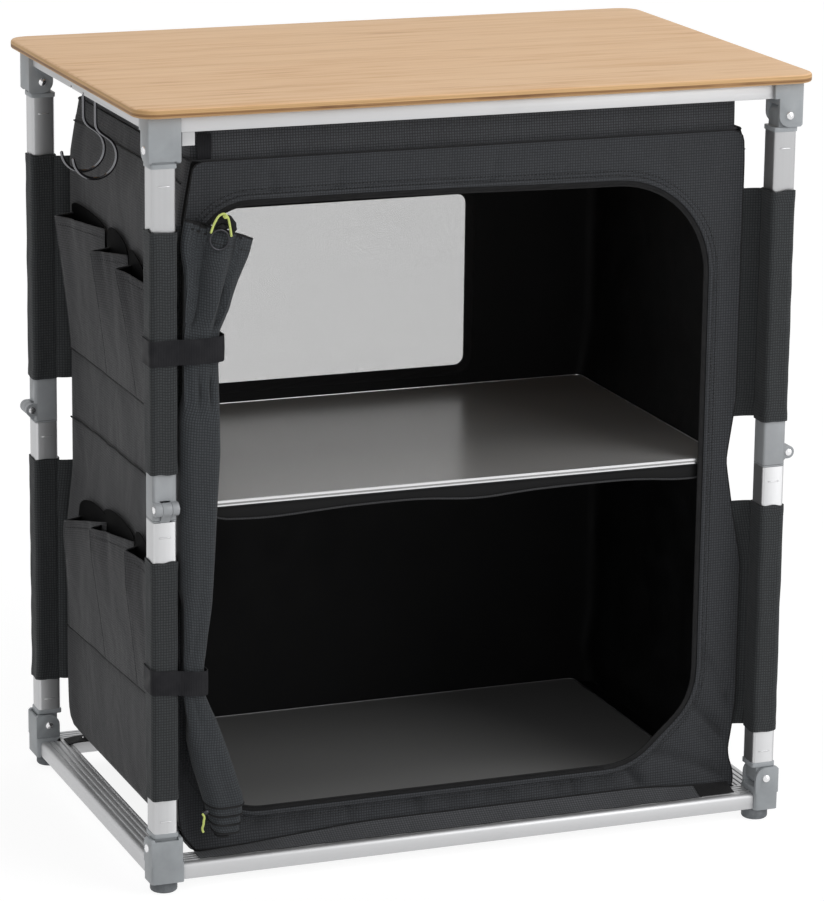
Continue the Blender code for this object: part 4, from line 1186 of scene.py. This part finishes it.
def sleeves():
    """Sewn tubes of cloth round the legs, their ends a little uneven, with a row of stitches near each end."""
    for corner in CORNERS:
        move = corner_place(corner)
        middle = move.translation

        def outward(p):
            return Vector((p.x - middle.x, p.y - middle.y, 0)).normalized()

        for kind, (low, high) in SLEEVES:
            name = "sleeve_" + kind + "_" + corner
            seed = len(corner) * 1.7 + (3.3 if kind == "upper" else 0)
            rows = []
            for z in [low, low + 0.0012] + spread(low + 0.006, high - 0.006, 0.007) + [high - 0.0012, high]:
                half = SLEEVE - 0.0004 + (0.0003 if min(z - low, high - z) < 0.009 else 0.0)
                ring = []
                for p in sleeve_ring(half, z, seed):
                    lift = 0.0022 * wave(p.x / 0.012 + seed, p.y / 0.012, 1.0) * smooth((z - high + 0.02) / 0.02)
                    lift += 0.0016 * wave(p.x / 0.012 - seed, p.y / 0.012, 5.0) * smooth((low + 0.02 - z) / 0.02)
                    ring.append(move @ Vector((p.x, p.y, p.z + lift)))
                rows.append(ring)
            obj = grid(name + "_look", rows, [RIPSTOP_SLEEVE, LINING], closed=True, thick=0.0009)
            place(obj, BODY_OF[name], (name,))
            for end, z in (("a", low + 0.0065), ("b", high - 0.0065)):
                ring = [move @ p for p in sleeve_ring(SLEEVE - 0.0003, z, seed)]
                row = stitches(name + "_stitches_" + end, ring, outward, DARK_THREAD, closed=True)
                place(row, BODY_OF[name])


def webs():
    """The strips of cloth that join the cupboard's corners to the flat of the leg sleeves."""
    for corner, (x0, y0, _) in CORNERS.items():
        sx, sy = math.copysign(1, x0), math.copysign(1, y0)
        far = (0.0036, 0.0003) if corner in ("front_right", "rear_left") else (0.0003, 0.0036)
        for kind, (low, high) in SLEEVES:
            rows = []
            for z in spread(low + 0.001, high - 0.001, 0.008):
                a = case_corner(z, sx, sy)
                b = Vector((sx * (LEG_X - SLEEVE + far[0]), sy * (LEG_Y - SLEEVE + far[1])))
                row = []
                for t in shares(5):
                    p = a.lerp(b, t)
                    sag = 0.001 * math.sin(math.pi * t) * (1 + wave(z / 0.03, sx, sy * 2))
                    row.append((p.x + sx * sag * 0.3, p.y - sy * sag, z))
                rows.append(row)
            cloth(grid("web_" + kind + "_" + corner, rows, [RIPSTOP_SLEEVE], thick=0.001, offset=0.0,
                       flip=sx * sy > 0))


def pocket(name, rear, front, lip, seam, bulge, seed, dome=0.018):
    """One flat pouch: sewn to the wall below and in front, flared at its rear top corner.

    rear and front are the y at the seam and at the lip; lip and seam are the heights at the rear and in front.
    """
    columns, levels, turn = 26, 18, 0.1
    rows = []
    for t in shares(levels):
        corner = rear[0] + (rear[1] - rear[0]) * t
        last = front[0] + (front[1] - front[0]) * t
        row = []
        for s in shares(columns):
            past = max(0.0, (s - turn) / (1 - turn))
            if s < turn:
                flare = s / turn
                y = corner + 0.01 * t * (1 - flare)
            else:
                y = corner + (last - corner) * past
                flare = (1 - past) ** 0.9
            out = 0.0008 + (bulge - 0.0008) * (t ** 1.15) * flare
            out -= 0.0085 * swell(s * 6.0 + seed, t * 0.9, seed) * math.sin(math.pi * min(1.0, past)) * t * flare
            low = seam[0] + (seam[1] - seam[0]) * s
            z = low + (lip[0] + (lip[1] - lip[0]) * past - low) * t
            row.append((-sides_at(z)[0] - 0.0002 - max(0.0008, out), y, z))
        rows.append(row)
    sheet = grid(name, rows, [RIPSTOP_SIDE, LINING], thick=0.0009, offset=1.0)
    fold = round(turn * columns)
    edge = tube(name + "_fold", [Vector(row[fold]) + Vector((-0.0006, 0.0008, 0)) for row in rows], 0.0008,
                [RIPSTOP_SIDE], 6)
    backs = []
    for t in shares(7):
        row = []
        for s in shares(24):
            y = rear[1] + 0.018 + (front[1] - rear[1] - 0.016) * s
            rise = dome * math.sin(math.pi * min(1.0, 0.12 + 0.88 * s ** 0.75)) ** 0.5
            z = lip[0] + (lip[1] - lip[0]) * s - 0.016 + (rise + 0.016) * t
            row.append((-sides_at(z)[0] - 0.0004 - 0.0016 * math.sin(math.pi * s) * t, y, z))
        backs.append(row)
    # The back seen through the pocket's mouth takes the darker lining, which is painted shade.
    back = grid(name + "_back", backs, [POCKET_SHADE_LINING], thick=0.0006, offset=1.0)
    hem = tube(name + "_hem", [Vector(p) + Vector((-0.0004, 0, 0)) for p in rows[-1]], 0.001, [RIPSTOP_SIDE])
    row = stitches(name + "_stitches", [Vector(p) + Vector((-0.0011, 0, 0)) for p in rows[-2]], (-1, 0, 0),
                   DARK_THREAD, *LONG_STITCH, 0.0005)
    return joined(name, [sheet, edge, back, hem, row])


def pockets():
    """Two rows of three pouches on the left wall, leaning out a little."""
    upper = [
        pocket("pocket_1", (0.172, 0.15), (0.047, 0.05), (0.603, 0.607), (0.4595, 0.4595), 0.024, 0.3, 0.012),
        pocket("pocket_2", (0.047, 0.027), (-0.054, -0.026), (0.591, 0.596), (0.4595, 0.4595), 0.0235, 2.6, 0.022),
        pocket("pocket_3", (-0.054, -0.045), (-0.12, -0.09), (0.588, 0.58), (0.4595, 0.4595), 0.02, 5.1, 0.019),
    ]
    lower = [
        pocket("pocket_4", (0.165, 0.119), (0.035, 0.04), (0.289, 0.306), (0.1605, 0.1645), 0.0215, 7.7),
        pocket("pocket_5", (0.035, 0.04), (-0.075, -0.05), (0.302, 0.31), (0.1645, 0.1685), 0.0195, 9.2),
        pocket("pocket_6", (-0.075, -0.067), (-0.14, -0.12), (0.308, 0.3), (0.1685, 0.171), 0.016, 12.4),
    ]
    for kind, row, lean, x in (("upper", upper, -0.052, -0.294), ("lower", lower, -0.1, -0.304)):
        axis = tuple(Vector((lean, 0, 1)).normalized())
        cloth(joined("pockets_" + kind, row), ("side_pockets_" + kind,),
              (axis, (x, 0, FLOOR_Z), KEEP))


# The rolled door, its straps and its zip pulls.

def door_fold(angle, z):
    """How deep the roll's skin is pressed in: long folds that gather at the two straps."""
    near = max(bell(z - 0.5428, 0.018), bell(z - 0.2158, 0.018))
    above = smooth((z - 0.56) / 0.05)
    lean = 2.4 * smooth((z - 0.545) / 0.11) - 0.9 * smooth((0.19 - z) / 0.12)
    drift = 1.5 * wave(z / 0.13, 2.0, 0.0)
    long_fold = 0.5 + 0.5 * math.cos(4 * angle + lean + drift)
    small = 0.5 + 0.5 * math.cos(11 * angle + 2.0 * wave(z / 0.05, 7.0, 0.0))
    by_strap = sum(bell(z - at, 0.02) for at in (0.512, 0.575, 0.186, 0.248))
    deep = (0.0018 + 0.0026 * above) * long_fold ** 1.5 * (1 - 0.8 * near)
    deep += 0.0014 * small * min(1.0, by_strap)
    top, under = smooth((z - 0.548) / 0.03), bell(z - 0.5, 0.026)
    for at, wide, high, low in ((300, 10, 0.0072, 0.0046), (236, 20, 0.0092, 0.0034), (268, 10, 0.0, 0.0034)):
        deep += (high * top + low * under) * bell(turned_from(at, angle), wide)
    return deep + 0.001 * swell(math.cos(angle) * 2.4, math.sin(angle) * 2.4, z / 0.07)


def turned_from(at, angle):
    """Degrees from a place on the roll's skin, at most 180 either way."""
    return (math.degrees(angle) - at + 180) % 360 - 180


def rivet_room(angle, z):
    """How far the roll's left side, hidden behind the leg, keeps off the rivet heads when all is folded."""
    beside = max(smooth((0.08 - abs(z - at)) / 0.025) for at in (0.2305, 0.556))
    return 0.0046 * smooth((52 - abs(turned_from(168, angle))) / 26) * beside


def door_point(turn, z):
    """A point of the rolled panel's spiral, turn counted from the outside in; it starts behind the roll."""
    z = min(0.668, max(0.05, z))
    left, right, deep = table_at(DOOR_LEVELS, z)
    middle, half = (left + right) / 2, (right - left) / 2
    share = 1 - 0.88 * (turn / DOOR_TURNS) ** 1.25
    angle = DOOR_START + 2 * math.pi * turn + 0.35 * smooth((z - 0.53) / 0.13) - 0.3 * smooth((0.2 - z) / 0.14)
    a, b = (math.copysign(abs(c) ** 0.88, c) for c in (math.cos(angle), math.sin(angle)))
    dent = door_fold(angle, z)
    wide = half - dent * 0.6 - rivet_room(angle, z)
    return Vector((middle + wide * a * share, DOOR_Y + (deep + 0.0004 - dent) * b * share, 0))


def rolled_door():
    """The door panel rolled up: one sheet wound into a spiral, its hem and top edge bound."""
    levels = spread(0.0, 1.0, 1 / 84)
    levels.insert(-1, 0.9965)
    rows = []
    for v in levels:
        row = []
        for share in shares(int(DOOR_TURNS * DOOR_STEPS)):
            turn = DOOR_TURNS * share
            around = DOOR_START + 2 * math.pi * turn
            low = max(0.052, 0.0885 - 0.0095 * turn) + 0.0032 * (1 + math.sin(around)) * (1 - share)
            top = 0.656 + 0.003 * math.sin(turn * 2 * math.pi * 0.5 + 1.0) - 0.004 * share
            z = low + (top - low) * v
            p = door_point(turn, z)
            left, right, _ = table_at(DOOR_LEVELS, z)
            p.z = z + 0.01 * ((left + right) / 2 - p.x) / ((right - left) / 2) * smooth((z - 0.6) / 0.05)
            row.append(p)
        rows.append(row)

    def bound(i, j):
        return 1 if i == len(levels) - 2 or j < 2 else 0

    obj = grid("door_roll", rows, [RIPSTOP_ROLL, BINDING], mat_of=bound, thick=0.0007, offset=0.0, flip=True)
    cloth(obj, ("rolled_door",), DOOR_SOFT)
    cloth(tube("door_hem", rows[0][:int(4.6 * DOOR_STEPS)], 0.0013, [BINDING]), (), DOOR_SOFT)
    line = [p + Vector((0, -0.0003, 0)) for p in rows[-4][12:35]]
    cloth(tube("door_top_seam", line, 0.0004, [DARK_THREAD], 6), (), DOOR_SOFT)
    return obj


def strap_path(right):
    """Round the leg's sleeve and the roll, as (x, y), from behind the leg on."""
    left, back = -0.3354, -0.1881
    path = [(-0.3064, back), (left, back), (left, -0.2149), (-0.308, -0.2149), (-0.2985, -0.2196),
            (right - 0.006, -0.2198), (right, -0.2145), (right, -0.196), (right - 0.006, -0.1905),
            (-0.2962, -0.1905)]
    return relaxed(resample([(x, y, 0) for x, y in path], STRAP_STEP), 2)


def straps():
    """Webbing round the leg's sleeve and the roll; the part round the leg goes with the leg."""
    seam, front = -0.3082, -0.2
    for name, (low, high), right, body, fall in STRAPS:
        path = strap_path(right)
        split = next(i for i, p in enumerate(path) if p.x > seam and p.y < front)
        node = "tie_strap_" + name
        for part, run in (("leg", path[:split + 1]), ("roll", path[split:])):
            rows = []
            for t in shares(6):
                row = []
                for p in run:
                    bow = (0.0003 + 0.0004 * smooth((p.x - seam) / 0.01)) * math.sin(math.pi * t) if p.y < front else 0
                    slack = 0.0006 * wave(p.x / 0.03, p.y / 0.03, 2.0)
                    row.append((p.x, p.y - bow, low + (high - low) * t + slack + fall * (p.x - seam) / 0.045))
                rows.append(row)
            obj = grid("strap_" + name + "_" + part, rows, [WEBBING], lambda i, j: (j * STRAP_STEP, rows[i][j][2]),
                       thick=0.0011, offset=1.0)
            if part == "roll":
                cloth(obj, (node,), DOOR_SOFT)
            else:
                place(obj, body)


def zip_pulls():
    """A slider with its ring and a knotted cord loop above, a slider with a short loop below."""
    loop = [(-0.2774, -0.22, 0.6565), (-0.2752, -0.2202, 0.6635), (-0.27, -0.2196, 0.6722),
            (-0.2639, -0.219, 0.6746), (-0.26, -0.2192, 0.67), (-0.2584, -0.2196, 0.661),
            (-0.2572, -0.22, 0.652)]
    ring = [(x, -0.2186, z) for x, z in arc((-0.2685, 0.649), 0.0095, 0, 360, 32)[:-1]]
    slider = [(-0.2715, -0.212, 0.663), (-0.268, -0.212, 0.6665), (-0.263, -0.2122, 0.668),
              (-0.258, -0.2126, 0.666), (-0.2545, -0.213, 0.6615), (-0.253, -0.2134, 0.656)]
    knot = [(-0.2685, -0.2128, 0.659), (-0.264, -0.213, 0.66), (-0.26, -0.2132, 0.659)]
    bead = [(-0.265, -0.2202, 0.6716), (-0.2634, -0.2206, 0.671), (-0.2618, -0.2204, 0.6698)]
    upper = [tube("cord", relaxed(resample(loop, 0.0015), 4), CORD_RADIUS, [NEON], 10),
             tube("ring", ring, 0.0011, [SLIDER], 10, True),
             tube("slider", slider, bulged(slider, 0.0036, 0.0016), [BINDING], 12),
             tube("knot", knot, bulged(knot, 0.0034, 0.0012), [BINDING], 12),
             tube("bead", bead, bulged(bead, 0.0012, 0.001), [NEON], 10)]
    cloth(joined("pull_upper", upper), ("zip_pull_upper",), DOOR_SOFT)
    loop = [(-0.2862, -0.22, 0.081), (-0.2838, -0.2206, 0.0775), (-0.2858, -0.2208, 0.074),
            (-0.285, -0.2204, 0.07), (-0.2872, -0.2198, 0.066), (-0.2852, -0.2194, 0.062)]
    slider = [(-0.285, -0.219, 0.081), (-0.2825, -0.219, 0.0822), (-0.28, -0.2186, 0.083)]
    lower = [tube("cord", relaxed(resample(loop, 0.0015), 3), CORD_RADIUS, [NEON], 10),
             tube("slider", slider, bulged(slider, 0.002, 0.0008), [SLIDER], 10)]
    cloth(joined("pull_lower", lower), ("zip_pull_lower",), DOOR_SOFT)


# The stage: a white floor that keeps the shadow, a white world, three soft lamps and the camera.

def white_floor():
    """A floor that looks white and keeps the object's shadow."""
    mat = bpy.data.materials.new("floor_white")
    mat.use_nodes = True
    mat.node_tree.nodes.clear()
    net = Net(mat.node_tree)
    diffuse = net.node("BsdfDiffuse", {"Color": (0.86, 0.86, 0.86, 1)})
    glow = net.node("Emission", {"Color": (1, 1, 1, 1), "Strength": 1.17})
    share = net.calc("MULTIPLY", net.looked_at(), 0.75)
    mixed = net.node("MixShader", {0: share, 1: diffuse.outputs[0], 2: glow.outputs[0]})
    net.node("OutputMaterial", {"Surface": mixed.outputs[0]})
    shape = bmesh.new()
    bmesh.ops.create_grid(shape, x_segments=4, y_segments=4, size=30)
    floor = made("floor", shape, [mat])
    floor.location.z = -0.0004


def white_world():
    """A white background, and a plain, softer light on the object."""
    world = bpy.data.worlds.new("studio")
    bpy.context.scene.world = world
    world.use_nodes = True
    world.node_tree.nodes.clear()
    net = Net(world.node_tree)
    level = net.node("MapRange", {"Value": net.looked_at(), "To Min": 0.57, "To Max": 1.0})
    back = net.node("Background", {"Color": (1, 1, 1, 1), "Strength": level.outputs[0]})
    net.node("OutputWorld", {"Surface": back.outputs[0]})


def lamps():
    """A soft key from the front right, with a fill from the left and a low one."""
    for name, spot, size, power in (("key", (2.2, -2.8, 2.6), 2.4, 66.0), ("fill", (-2.6, -2.0, 1.6), 2.6, 6.0),
                                    ("low", (2.3, -2.6, 0.7), 1.6, 10.0)):
        lamp = bpy.data.lights.new(name, "AREA")
        lamp.size = size
        lamp.energy = power
        obj = link(bpy.data.objects.new(name, lamp))
        obj.location = spot
        obj.rotation_euler = (Vector((0, 0, 0.4)) - Vector(spot)).to_track_quat("-Z", "Y").to_euler()


def camera():
    """The photograph's camera, fitted to the legs and the worktop."""
    lens = bpy.data.cameras.new("camera")
    lens.sensor_fit = "HORIZONTAL"
    lens.sensor_width = 36
    lens.lens = 179.04
    lens.clip_end = 100
    obj = link(bpy.data.objects.new("camera", lens))
    yaw, roll = math.radians(21.288), math.radians(0.72)
    level = Vector((math.cos(yaw), -math.sin(yaw), 0))
    ahead = Vector((0.3509015, 0.9005801, -0.2565613)).normalized()
    upright = level.cross(ahead).normalized()
    right = math.cos(roll) * level + math.sin(roll) * upright
    up = -math.sin(roll) * level + math.cos(roll) * upright
    turn = Matrix((right, up, -ahead)).transposed().to_4x4()
    obj.matrix_world = Matrix.Translation((-1.46469, -3.79256, 1.44621)) @ turn
    bpy.context.scene.camera = obj


def build():
    camera()
    rigid_parts()
    small_metal()
    board()
    shelf("middle_shelf", "shelf_middle", SHELF_Z, "middle_shelf", EDGE_ALU)
    shelf("bottom_shelf", "shelf_bottom", FLOOR_SHELF_Z, "bottom_frame", EDGE_ALU_SHADED)
    hooks()
    front_panel()
    opening_trim()
    walls()
    wall_seams()
    roof_and_header()
    floor_cloth()
    hem_strip()
    rear_tabs()
    sling()
    window()
    sleeves()
    webs()
    pockets()
    door = rolled_door()
    straps()
    zip_pulls()
    white_floor()
    white_world()
    lamps()


build()
bpy.context.scene.view_settings.view_transform = "Standard"
